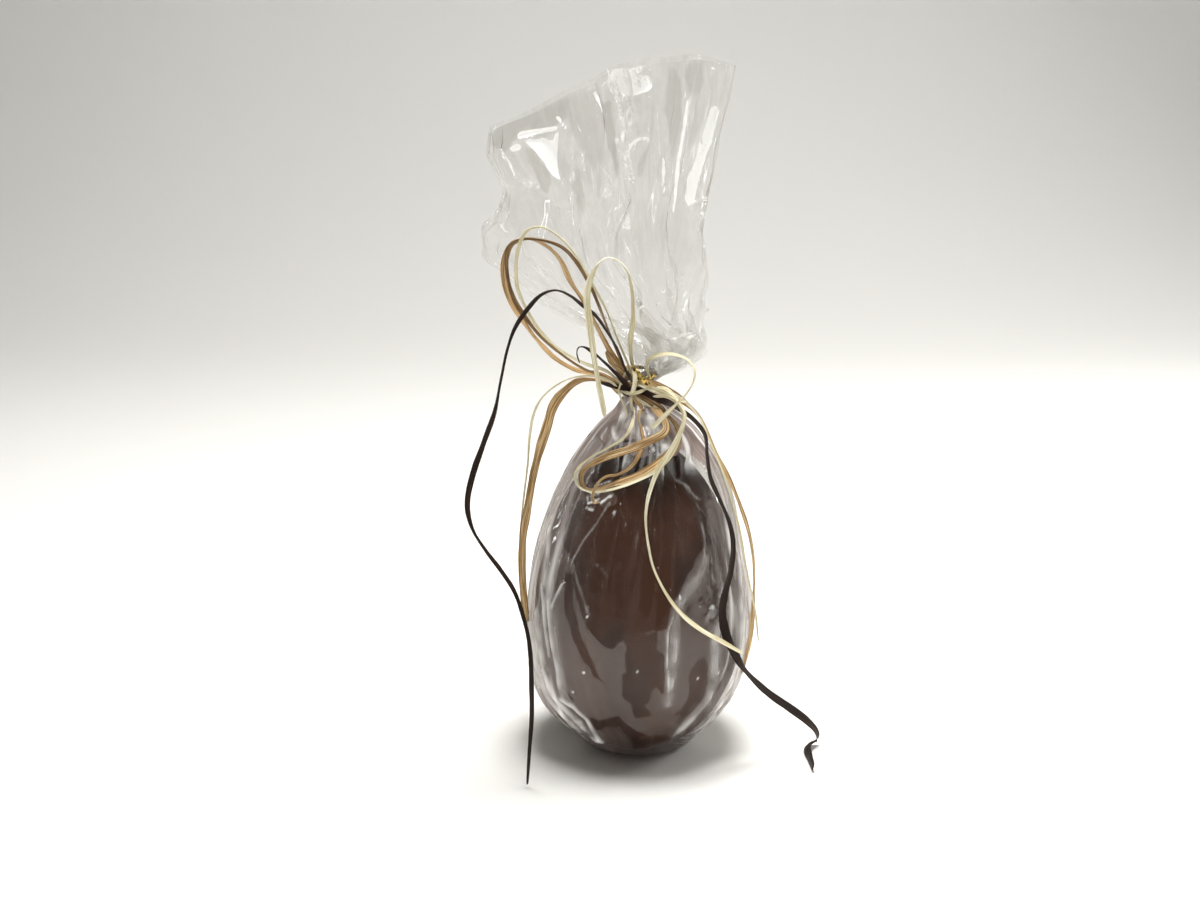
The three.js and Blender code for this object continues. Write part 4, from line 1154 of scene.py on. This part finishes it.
def bag_outline(height):
    """Radius of the film round the egg at a height and sideways offset of its centre, with no corners."""
    rows = BODY_OUTLINE
    place = max(index for index in range(len(rows) - 1) if rows[index][0] <= max(height, 0))
    if height >= rows[-1][0]:
        return rows[-1][1:]
    before, low, high, after = (rows[min(max(place + step, 0), len(rows) - 1)] for step in (-1, 0, 1, 2))
    share = (height - low[0]) / (high[0] - low[0])
    values = []
    for column in (1, 2):
        start = (high[column] - before[column]) / (high[0] - before[0]) * (high[0] - low[0])
        end = (after[column] - low[column]) / (after[0] - low[0]) * (high[0] - low[0])
        rise = high[column] - low[column]
        values.append(low[column] + share * start + share ** 2 * (3 * rise - 2 * start - end)
                      + share ** 3 * (start + end - 2 * rise))
    return values


def lay_body(piece):
    """Lay the film on the egg, raise its folds, and mark where it clings, where it is hazy, and its painted
    highlights and shade.
    """
    mesh = piece.data
    points = mesh_points(mesh)
    height = points[:, 2]
    turn = np.degrees(np.arctan2(points[:, 0], -points[:, 1]))
    core = np.array([egg_radius(value, EGG_RADIUS) for value in height])
    free, tight = film_clearance(points, turn, core)
    core = np.maximum(core, FOOT_RADIUS)
    around = np.radians(turn) * core
    cling, inner = wet_places(points, turn, around, core)
    lift, white, cling = fold_marks(around, height, core, cling)
    lift, white, cling = crumple_marks(around, height, core, lift, white, cling)
    lift += 0.25 * (1 + waves(points * (1, 1, 0.35), 5, 3)) * (1 - smooth_steps(128, 150, height))
    radius = np.hypot(points[:, 0], points[:, 1])
    outline = np.array([bag_outline(value) for value in height])
    loose = tight + free * np.clip(outline[:, 0] - tight, 0, 12) + lift * smooth_steps(0, 6, height)
    points[:, :2] *= (loose / radius)[:, None]
    points[:, 0] += free * outline[:, 1] * smooth_steps(0, 20, height)
    move_points(mesh, points)
    ring = np.radians(turn)
    lay = np.stack([40 * np.sin(ring), -40 * np.cos(ring), 0.11 * height], axis=1)
    veil, painted_sheen, tint = body_haze(turn, height, lay)
    mark_film(
        mesh, lay, veil=veil, white=np.clip(white + painted_sheen, 0, 1), edge=np.full(len(points), 9.0),
        cling=cling, tint=tint, inner=inner)


def body_haze(turn, height, lay):
    """How hazy, how white with painted sheen and how grey with painted shade the film on the egg is, mostly
    at sides and top.
    """
    away = np.abs(turn)
    streaks = np.clip(0.5 + 1.3 * waves(lay, 3.4, 8), 0, 1.5)
    sides = smooth_steps(40, 72, away)
    top = smooth_steps(118, 136, height) * smooth_steps(20, 50, away)
    low_left = smooth_steps(15, 30, -turn) * (1 - smooth_steps(45, 75, height))
    crest = smooth_steps(124, 134, height)
    behind = smooth_steps(84, 104, away)
    # Haze at the sides: partly the film standing off, partly painted sheen where the film is seen edge-on
    side_haze_and_sheen = sides * (0.14 + 0.38 * streaks * (1 - 0.7 * behind))
    veil = 0.18 + 0.14 * low_left + side_haze_and_sheen + 0.3 * top + 0.42 * crest
    right = smooth_steps(30, 60, turn)
    high = smooth_steps(75, 120, height)
    # Painted sheen: white streaks at the sides and along the crest
    painted_sheen = (0.66 + 0.24 * right) * sides * streaks ** 2.5 * (1 - 0.7 * high) + 0.4 * crest * streaks ** 2
    painted_sheen *= 1 - 0.85 * behind
    # Painted shade: the film greyed towards its top and its sides
    shade_share = smooth_steps(112, 134, height) + smooth_steps(52, 78, away)
    tint = np.clip(shade_share, 0, 1) * np.clip(1.1 - 0.4 * streaks, 0.5, 1)
    return np.clip(veil, 0, 0.9), np.minimum(painted_sheen, 0.65), tint


def film_clearance(points, turn, core):
    """How freely the film stands off towards the bag's outline, from 0 to 1, and its tightest radius."""
    radius = np.hypot(points[:, 0], points[:, 1])
    stands_off = 0.12 + 0.88 * smooth_steps(38, 82, np.abs(turn))
    return np.maximum(smooth_steps(126, 142, points[:, 2]), stands_off), np.maximum(radius, core + 0.45)


def wet_places(points, turn, around, core):
    """Millimetres inside a wet patch, negative outside, and how hazy the nearest patch is."""
    cling = np.where(np.abs(turn) < 88, -9.0, 9 * (waves(points, 16, 5) - 0.3))
    inner = np.full(len(points), 0.1)
    for level, outline in WET_PATCHES:
        near = nearest_on_path(around, points[:, 2], core, outline + outline[:1])
        depth = np.where(inside_outline(turn, points[:, 2], outline), near, -near)
        inner = np.where(depth > np.minimum(cling, 1.5), level, inner)
        cling = np.maximum(cling, depth)
    return cling, inner


def fold_marks(around, height, core, cling):
    """How high folds and blisters lift the film, how bright their painted highlights are, and where it then
    still clings.
    """
    lift = np.zeros(len(height))
    white = np.zeros(len(height))
    broken = np.clip(0.85 + 0.9 * waves(np.stack([around, height, 0 * height], axis=1), 7, 13), 0.25, 1.25)
    for fold_height, width, highlight_level, path in FOLDS:
        near = nearest_on_path(around, height, core, path)
        ridge = np.exp(-near / width)
        lift = np.maximum(lift, fold_height * ridge)
        line = np.exp(-((near / (0.8 * width)) ** 2))
        # Painted highlight along each fold
        white = np.maximum(white, highlight_level * line * broken)
        if highlight_level < 0:
            cling = cling + line * (3 - cling)
        elif fold_height > 0.8:
            cling = cling - 4 * line
    for index, (centre, level) in enumerate(BLISTERS):
        kind = index % 3
        near = np.hypot(around - math.radians(centre) * core, (height - level) * (0.6 + 0.3 * kind))
        lift += 0.4 * np.exp(-((near / 0.9) ** 2))
        # A painted glint on each blister
        white = np.maximum(white, (0.5 + 0.2 * kind) * np.exp(-((near / (0.42 + 0.1 * kind)) ** 4)))
    return lift, white, cling


def crumple_marks(around, height, core, lift, white, cling):
    """The same marks with the small crumples put in, and painted highlights on their ridges."""
    crumple = facets(around / 3.1, height / 3.7, 21) + 0.5 * facets(height / 1.9, around / 2.3, 22)
    for centre, level, reach in CRUMPLES:
        near = np.hypot(around - math.radians(centre) * core, height - level)
        inside = np.exp(-((near / reach) ** 4))
        lift = lift + 0.7 * inside * np.abs(crumple)
        cling = cling + inside * (4 * crumple - cling)
        # Painted highlights on the crumples' ridges
        white = np.maximum(white, inside * np.clip(0.9 * crumple - 0.45, 0, 0.8))
    return lift, white, cling


# ---- Finishes ----------------------------------------------------------------------------------------------


def new_material(name):
    """A material with an empty node tree, and that tree."""
    material = bpy.data.materials.new(name)
    material.use_nodes = True
    material.node_tree.nodes.clear()
    return material, material.node_tree


def new_node(tree, kind, inputs=None, **settings):
    """A node with these settings, whose inputs are numbers, colours or other nodes' outputs."""
    node = tree.nodes.new(kind)
    for name, value in settings.items():
        setattr(node, name, value)
    for name, value in (inputs or {}).items():
        if isinstance(value, bpy.types.NodeSocket):
            tree.links.new(value, node.inputs[name])
        else:
            node.inputs[name].default_value = value
    return node


def object_place(tree):
    return new_node(tree, "ShaderNodeTexCoord").outputs["Object"]


def attribute_node(tree, name, output="Fac"):
    return new_node(tree, "ShaderNodeAttribute", attribute_name=name).outputs[output]


def mapping_node(tree, vector, scale):
    return new_node(tree, "ShaderNodeMapping", {"Vector": vector, "Scale": scale}).outputs["Vector"]


def noise_node(tree, vector, scale, detail, roughness):
    inputs = {"Vector": vector, "Scale": scale, "Detail": detail, "Roughness": roughness}
    return new_node(tree, "ShaderNodeTexNoise", inputs).outputs["Fac"]


def math_node(tree, operation, *values):
    return new_node(tree, "ShaderNodeMath", dict(enumerate(values)), operation=operation).outputs[0]


def ramp_node(tree, value, low, high):
    """0 below low and 1 above high, smooth between."""
    inputs = {"Value": value, "From Min": low, "From Max": high}
    return new_node(tree, "ShaderNodeMapRange", inputs, interpolation_type="SMOOTHSTEP").outputs["Result"]


def bump_node(tree, height, strength, distance):
    inputs = {"Height": height, "Strength": strength, "Distance": distance}
    return new_node(tree, "ShaderNodeBump", inputs).outputs["Normal"]


def mix_colour(tree, factor, low, high):
    """One colour where the factor is 0 and another where it is 1."""
    return new_node(tree, "ShaderNodeMix", {0: factor, 6: low, 7: high}, data_type="RGBA").outputs[2]


def mix_shader(tree, factor, low, high):
    return new_node(tree, "ShaderNodeMixShader", {0: factor, 1: low, 2: high}).outputs[0]


def show_surface(tree, shader):
    new_node(tree, "ShaderNodeOutputMaterial", {"Surface": shader})


def show_principled(tree, inputs):
    show_surface(tree, new_node(tree, "ShaderNodeBsdfPrincipled", inputs).outputs["BSDF"])


# How each raffia differs along its fibres: the deep and the pale tone, as shares of its colour
RAFFIA_TONES = {
    "cream": ((0.62, 0.58, 0.46), (1.24, 1.27, 1.45)),
    "tan": ((0.36, 0.29, 0.22), (1.2, 1.32, 1.55)),
    "umber": ((0.3, 0.26, 0.22), (2.1, 2.3, 2.7)),
    "brown": ((0.5, 0.45, 0.4), (3, 2.6, 2.4)),
}


def raffia_finishes(settings):
    """The raffia materials, made once."""
    finishes = {}
    for name, tones in RAFFIA_TONES.items():
        known = bpy.data.materials.get("raffia_" + name)
        finishes[name] = known or raffia_finish("raffia_" + name, getattr(settings, name), *tones)
    return finishes


def fibre_group():
    """Fibres along a strand: Clean is 0 in deep streaks and along one edge, Pale is 1 in pale stretches."""
    known = bpy.data.node_groups.get("raffia_fibres")
    if known:
        return known
    group = bpy.data.node_groups.new("raffia_fibres", "ShaderNodeTree")
    group.interface.new_socket("Strand", in_out="INPUT", socket_type="NodeSocketVector")
    for name in ("Clean", "Pale", "Height"):
        group.interface.new_socket(name, in_out="OUTPUT", socket_type="NodeSocketFloat")
    strand = new_node(group, "NodeGroupInput").outputs["Strand"]
    fine = noise_node(group, mapping_node(group, strand, (6.5, 0.06, 1)), 1, 4, 0.65)
    broad = noise_node(group, mapping_node(group, strand, (1.1, 0.045, 2.3)), 1, 2, 0.5)
    across = new_node(group, "ShaderNodeSeparateXYZ", {"Vector": strand}).outputs["X"]
    rolled = math_node(group, "MULTIPLY_ADD", broad, 1.1, across)
    clean = math_node(
        group, "MULTIPLY", ramp_node(group, fine, 0.45, 0.58), ramp_node(group, rolled, -0.4, -0.1))
    pale = ramp_node(group, broad, 0.52, 0.66)
    new_node(group, "NodeGroupOutput", {"Clean": clean, "Pale": pale, "Height": fine})
    return group


def raffia_finish(name, colour, deep_share, pale_share):
    """Dull palm fibre, with streaks along it."""
    material, tree = new_material(name)
    strand = attribute_node(tree, "strand", "Vector")
    fibres = new_node(tree, "ShaderNodeGroup", {"Strand": strand}, node_tree=fibre_group()).outputs
    deep, pale = (
        (*(min(1, value * part) for value, part in zip(colour, share)), 1)
        for share in (deep_share, pale_share)
    )
    body = mix_colour(tree, fibres["Pale"], tuple(colour), pale)
    show_principled(tree, {
        "Base Color": mix_colour(tree, fibres["Clean"], deep, body),
        "Roughness": 0.55,
        "Specular IOR Level": 0.15,
        "Normal": bump_node(tree, fibres["Height"], 0.5, 0.0004),
    })
    return material


def gilt_finish(settings):
    """Crumpled metallised paper, bright on its flats, with painted shade in its folds."""
    material, tree = new_material("gilt")
    folds = noise_node(tree, object_place(tree), 700, 2, 0.5)
    flats = ramp_node(tree, folds, 0.42, 0.56)
    show_principled(tree, {
        # Painted shade: the fold colour where the noise is low
        "Base Color": mix_colour(tree, flats, tuple(settings.fold_shade), tuple(settings.gilt)),
        "Metallic": 1,
        "Roughness": math_node(tree, "MULTIPLY_ADD", folds, 0.5, 0.05),
        "Normal": bump_node(tree, folds, 0.9, 0.001),
    })
    return material


def chocolate_finish(settings):
    """Plain dark chocolate, a little uneven in colour and gloss."""
    material, tree = new_material("chocolate")
    place = object_place(tree)
    broad = noise_node(tree, mapping_node(tree, place, (1, 1, 0.5)), 38, 3, 0.55)
    fine = noise_node(tree, place, 420, 4, 0.6)
    lighter = ramp_node(tree, broad, 0.38, 0.62)
    show_principled(tree, {
        "Base Color": mix_colour(tree, lighter, tuple(settings.dark), tuple(settings.chocolate)),
        "Specular IOR Level": 0.22,
        "Roughness": math_node(tree, "MULTIPLY_ADD", fine, 0.2, 0.36),
        "Normal": bump_node(tree, fine, 0.25, 0.0002),
    })
    return material


# Looks of the film on the egg and of the crown: scale and depth of its wrinkles, how ragged the edges of its
# patches are and half their width, how far its haze shines when lit from behind, and its grazing gloss
FILM_LOOKS = {
    "film_body": (150, 0.0006, 4.4, 0.12, 0.25, 0.45),
    "film_crown": (60, 0.0004, 3.0, 0.4, 0.45, 0.36),
}
CLEAR_FILM = (0.988, 0.988, 0.984, 1)
# What the film lets through: clear, or greyed where painted shade is marked
SHADED_FILM = (0.78, 0.77, 0.75, 1)


def film_finish(name, settings):
    """Clear film: see-through, glossy at a grazing look, milky where it stands off, painted white highlights
    at creases.
    """
    material, tree = new_material(name)
    crown = name == "film_crown"
    wrinkle_scale, wrinkle_depth, ragged, half_edge, shines_through, grazing_gloss = FILM_LOOKS[name]
    place = object_place(tree)
    normal = bump_node(tree, noise_node(tree, place, wrinkle_scale, 3, 0.55), 0.3, wrinkle_depth)
    broad = noise_node(tree, place, 190, 4, 0.68)
    tattered = math_node(tree, "MULTIPLY_ADD", broad, ragged, -ragged / 2)
    edge = math_node(tree, "ADD", attribute_node(tree, "cling"), tattered)
    patch_share = ramp_node(tree, edge, -half_edge, half_edge)
    # Painted shade; on the crown only inside its panes
    tint = attribute_node(tree, "tint")
    if crown:
        tint = math_node(tree, "MULTIPLY", patch_share, tint)
    through = mix_colour(tree, tint, CLEAR_FILM, SHADED_FILM)
    clear = new_node(tree, "ShaderNodeBsdfTransparent", {"Color": through}).outputs[0]
    gloss = new_node(tree, "ShaderNodeBsdfGlossy", {"Roughness": 0.07, "Normal": normal}).outputs[0]
    facing = new_node(tree, "ShaderNodeLayerWeight", {"Blend": 0.5, "Normal": normal}).outputs["Facing"]
    grazing = math_node(
        tree, "MULTIPLY_ADD", math_node(tree, "POWER", facing, 4.0), grazing_gloss, 0.055)
    shiny = mix_shader(tree, math_node(tree, "MULTIPLY_ADD", patch_share, -0.042, grazing), clear, gloss)
    fine = noise_node(tree, attribute_node(tree, "lay", "Vector"), 0.9, 3, 0.6)
    streaks = math_node(tree, "MULTIPLY_ADD", fine, 1.6, 0.2)
    dry = math_node(tree, "MULTIPLY", attribute_node(tree, "veil"), streaks)
    haze = new_node(tree, "ShaderNodeMix", {"Factor": patch_share, "A": dry, "B": attribute_node(tree, "inner")})
    milk = lit_both_ways(tree, settings.crown_milk if crown else settings.milk, shines_through)
    hazy = mix_shader(tree, haze.outputs["Result"], shiny, milk)
    # A white diffuse layer that paints the highlights
    white = new_node(tree, "ShaderNodeBsdfDiffuse", {"Color": settings.white}).outputs[0]
    show_surface(tree, mix_shader(tree, highlight_share(tree, place, broad, crown), hazy, white))
    return material


def highlight_share(tree, place, broad, crown):
    """How white the painted highlights make the film at its folds and glints, which have ragged edges and are
    mottled on the crown.
    """
    torn = math_node(tree, "MULTIPLY_ADD", broad, 1.6, -0.8)
    rim = math_node(tree, "ADD", attribute_node(tree, "edge"), torn)
    level = attribute_node(tree, "white")
    highlit = math_node(tree, "MULTIPLY", ramp_node(tree, rim, -0.15, 0.15), level)
    if not crown:
        return highlit
    mottle = noise_node(tree, mapping_node(tree, place, (1, 1, 0.55)), 260, 4, 0.7)
    solid = math_node(tree, "MULTIPLY_ADD", level, 0.62, mottle)
    return math_node(tree, "MULTIPLY", highlit, ramp_node(tree, solid, 0.72, 0.94))


def lit_both_ways(tree, colour, share):
    """A thin white veil that also shines, by the share given, when the light is behind it."""
    front, through = (
        new_node(tree, kind, {"Color": colour}).outputs[0]
        for kind in ("ShaderNodeBsdfDiffuse", "ShaderNodeBsdfTranslucent")
    )
    return mix_shader(tree, share, front, through)


def floor_finish(settings):
    """Matt painted board, very slightly uneven."""
    material, tree = new_material("floor")
    place = object_place(tree)
    cloudy = noise_node(tree, place, 6, 3, 0.5)
    grain = noise_node(tree, place, 900, 2, 0.5)
    worn = tuple(0.975 * value for value in settings.floor[:3]) + (1,)
    show_principled(tree, {
        "Base Color": mix_colour(tree, cloudy, tuple(settings.floor), worn),
        "Roughness": 0.85,
        "Normal": bump_node(tree, grain, 0.1, 0.0002),
    })
    return material


# ---- Stage -------------------------------------------------------------------------------------------------

CAMERA_ELEVATION = 16
CAMERA_DISTANCE = 0.8
CAMERA_AIM = (-0.01688, 0, 0.13096)
CAMERA_LENS = 56.87

# The floor runs from in front of the object to where it sweeps up in an arc
FLOOR_FRONT = -1.6
FLOOR_RUN = 4.4
FLOOR_HALF_WIDTH = 3
SWEEP_START = 0.75
SWEEP_RADIUS = 0.5

# Colours of the room's light, from the front and from behind, and of what the film mirrors of it
DIM_ROOM = (0.12, 0.115, 0.11, 1)
BRIGHT_ROOM = (0.95, 0.93, 0.89, 1)
MIRRORED_FRONT = (0.25, 0.245, 0.23, 1)
MIRRORED_BACK = (1.9, 1.86, 1.78, 1)

# Tall narrow lights whose reflections make the film's glints, and light nothing else: place, height, power
GLINT_LIGHTS = [
    (1.05, -0.65, 0.35, 0.7, 2.0), (-1.15, -0.5, 0.4, 0.7, 2.0), (0.35, -1.25, 0.75, 0.3, 0.7),
    (-0.5, -1.1, 0.9, 0.3, 0.7), (1.2, 0.35, 0.5, 0.7, 3.0), (-1.2, 0.3, 0.5, 0.7, 3.0),
]


def power_property(name, description, default):
    return FloatProperty(name=name, description=description, subtype="POWER", unit="POWER", default=default)


class StageSettings(bpy.types.PropertyGroup):
    floor: colour_property("Floor", "Colour of the floor", (0.82, 0.805, 0.77))
    top_light: power_property("Top light", "Power of the softbox overhead", 16)
    side_light: power_property("Side light", "Power of the fill from the right", 4)
    fill_light: power_property("Fill light", "Power of the fill from the front", 9)
    room_light: FloatProperty(
        name="Room light", description="Strength of the light from the room", min=0, default=0.31)


class BAGGED_EGG_OT_stage(bpy.types.Operator):
    """Set the floor, the lights and the camera"""

    bl_idname = "bagged_egg.stage"
    bl_label = "Stage"

    def execute(self, context):
        settings = context.scene.bagged_egg_stage
        make_camera(context)
        floor = make_floor(settings)
        area_light("top_softbox", (0.05, 0.06, 1), (0, 0.03, 0), (0.4, 0.4), settings.top_light)
        side = area_light("side_fill", (0.8, 0.35, 0.4), (0, 0, 0.02), (0.3, 0.3), settings.side_light)
        side.visible_glossy = False
        fill = area_light("front_fill", (-0.2, -1.1, 0.4), (0, 0, 0.15), (0.6, 0.6), settings.fill_light)
        fill.visible_glossy = False
        spare_from(fill, floor)
        for index, (x, y, z, height, power) in enumerate(GLINT_LIGHTS):
            glint = area_light("glint_light_%d" % index, (x, y, z), (0, 0, 0.2), (0.035, height), power)
            glint.visible_diffuse = False
        context.scene.world = make_room(settings)
        context.scene.view_settings.view_transform = "Standard"
        context.scene.cycles.transparent_max_bounces = 32
        context.scene.cycles.caustics_reflective = False
        return {"FINISHED"}


def make_room(settings):
    """Even light that is dim from the front and bright from behind and above."""
    world = bpy.data.worlds.new("room")
    world.use_nodes = True
    tree = world.node_tree
    around = new_node(tree, "ShaderNodeTexCoord").outputs["Generated"]
    direction = new_node(tree, "ShaderNodeSeparateXYZ", {"Vector": around}).outputs
    back = math_node(tree, "MULTIPLY_ADD", direction["Y"], 0.6, 0.25)
    lifted = math_node(tree, "MULTIPLY_ADD", direction["Z"], 0.5, back)
    light = mix_colour(tree, ramp_node(tree, lifted, 0.0, 0.8), DIM_ROOM, BRIGHT_ROOM)
    walls = mix_colour(tree, ramp_node(tree, direction["Y"], -0.75, -0.1), MIRRORED_FRONT, MIRRORED_BACK)
    mirrored = new_node(tree, "ShaderNodeLightPath").outputs["Is Glossy Ray"]
    room = tree.nodes["Background"]
    room.inputs["Strength"].default_value = settings.room_light
    tree.links.new(mix_colour(tree, mirrored, light, walls), room.inputs["Color"])
    return world


def make_camera(context):
    lens = bpy.data.cameras.new("camera")
    lens.lens = CAMERA_LENS
    lens.sensor_width = 36
    lens.dof.use_dof = False
    camera = bpy.data.objects.new("camera", lens)
    context.scene.collection.objects.link(camera)
    tilt = math.radians(CAMERA_ELEVATION)
    away = Vector((0, -math.cos(tilt), math.sin(tilt))) * CAMERA_DISTANCE
    camera.location = Vector(CAMERA_AIM) + away
    camera.rotation_euler = (math.radians(90 - CAMERA_ELEVATION), 0, 0)
    context.scene.camera = camera


def make_floor(settings):
    """A floor that sweeps up behind."""
    bm = bmesh.new()
    bmesh.ops.create_grid(bm, x_segments=2, y_segments=60, size=1)
    for vertex in bm.verts:
        run = (vertex.co.y + 1) * FLOOR_RUN / 2 + FLOOR_FRONT
        arc = SWEEP_RADIUS * math.pi / 2
        if run <= SWEEP_START:
            place = (run, 0)
        elif run <= SWEEP_START + arc:
            turn = (run - SWEEP_START) / SWEEP_RADIUS
            place = (SWEEP_START + SWEEP_RADIUS * math.sin(turn), SWEEP_RADIUS * (1 - math.cos(turn)))
        else:
            place = (SWEEP_START + SWEEP_RADIUS, SWEEP_RADIUS + run - SWEEP_START - arc)
        vertex.co = (vertex.co.x * FLOOR_HALF_WIDTH, *place)
    bmesh.ops.recalc_face_normals(bm, faces=bm.faces)
    floor = object_from(bm, "floor", floor_finish(settings))
    return floor


def spare_from(light, thing):
    """Keep a light off one thing."""
    spared = bpy.data.collections.new("spared_by_" + light.name)
    spared.objects.link(thing)
    spared.collection_objects[0].light_linking.link_state = "EXCLUDE"
    light.light_linking.receiver_collection = spared


def area_light(name, place, target, size, power):
    light = bpy.data.lights.new(name, "AREA")
    light.shape = "RECTANGLE"
    light.size, light.size_y = size
    light.energy = power
    lamp = bpy.data.objects.new(name, light)
    bpy.context.scene.collection.objects.link(lamp)
    lamp.location = place
    lamp.rotation_euler = (Vector(target) - Vector(place)).to_track_quat("-Z", "Y").to_euler()
    return lamp


# ---- Panel and registration --------------------------------------------------------------------------------


class BAGGED_EGG_PT_pieces(bpy.types.Panel):
    """Builds each piece of the bagged egg"""

    bl_idname = "BAGGED_EGG_PT_pieces"
    bl_label = "Chocolate Egg"
    bl_space_type = "VIEW_3D"
    bl_region_type = "UI"
    bl_category = "Chocolate Egg"

    def draw(self, context):
        for maker in OPERATORS:
            self.layout.operator(maker.bl_idname)
        for group in GROUPS:
            box = self.layout.box()
            settings = getattr(context.scene, group)
            for name in settings.__annotations__:
                box.prop(settings, name)


OPERATORS = (
    BAGGED_EGG_OT_stage,
    BAGGED_EGG_OT_raffia,
    BAGGED_EGG_OT_knot,
    BAGGED_EGG_OT_tie,
    BAGGED_EGG_OT_egg,
    BAGGED_EGG_OT_film,
)
GROUPS = {
    "bagged_egg_stage": StageSettings,
    "bagged_egg_raffia": RaffiaSettings,
    "bagged_egg_tie": TieSettings,
    "bagged_egg_egg": EggSettings,
    "bagged_egg_film": FilmSettings,
}


def register():
    for maker in (*GROUPS.values(), *OPERATORS, BAGGED_EGG_PT_pieces):
        bpy.utils.register_class(maker)
    for name, group in GROUPS.items():
        setattr(bpy.types.Scene, name, PointerProperty(type=group))


def unregister():
    for name in GROUPS:
        delattr(bpy.types.Scene, name)
    for maker in reversed((*GROUPS.values(), *OPERATORS, BAGGED_EGG_PT_pieces)):
        bpy.utils.unregister_class(maker)


def main():
    register()
    for maker in OPERATORS:
        family, name = maker.bl_idname.split(".")
        getattr(getattr(bpy.ops, family), name)()


if __name__ == "__main__":
    main()
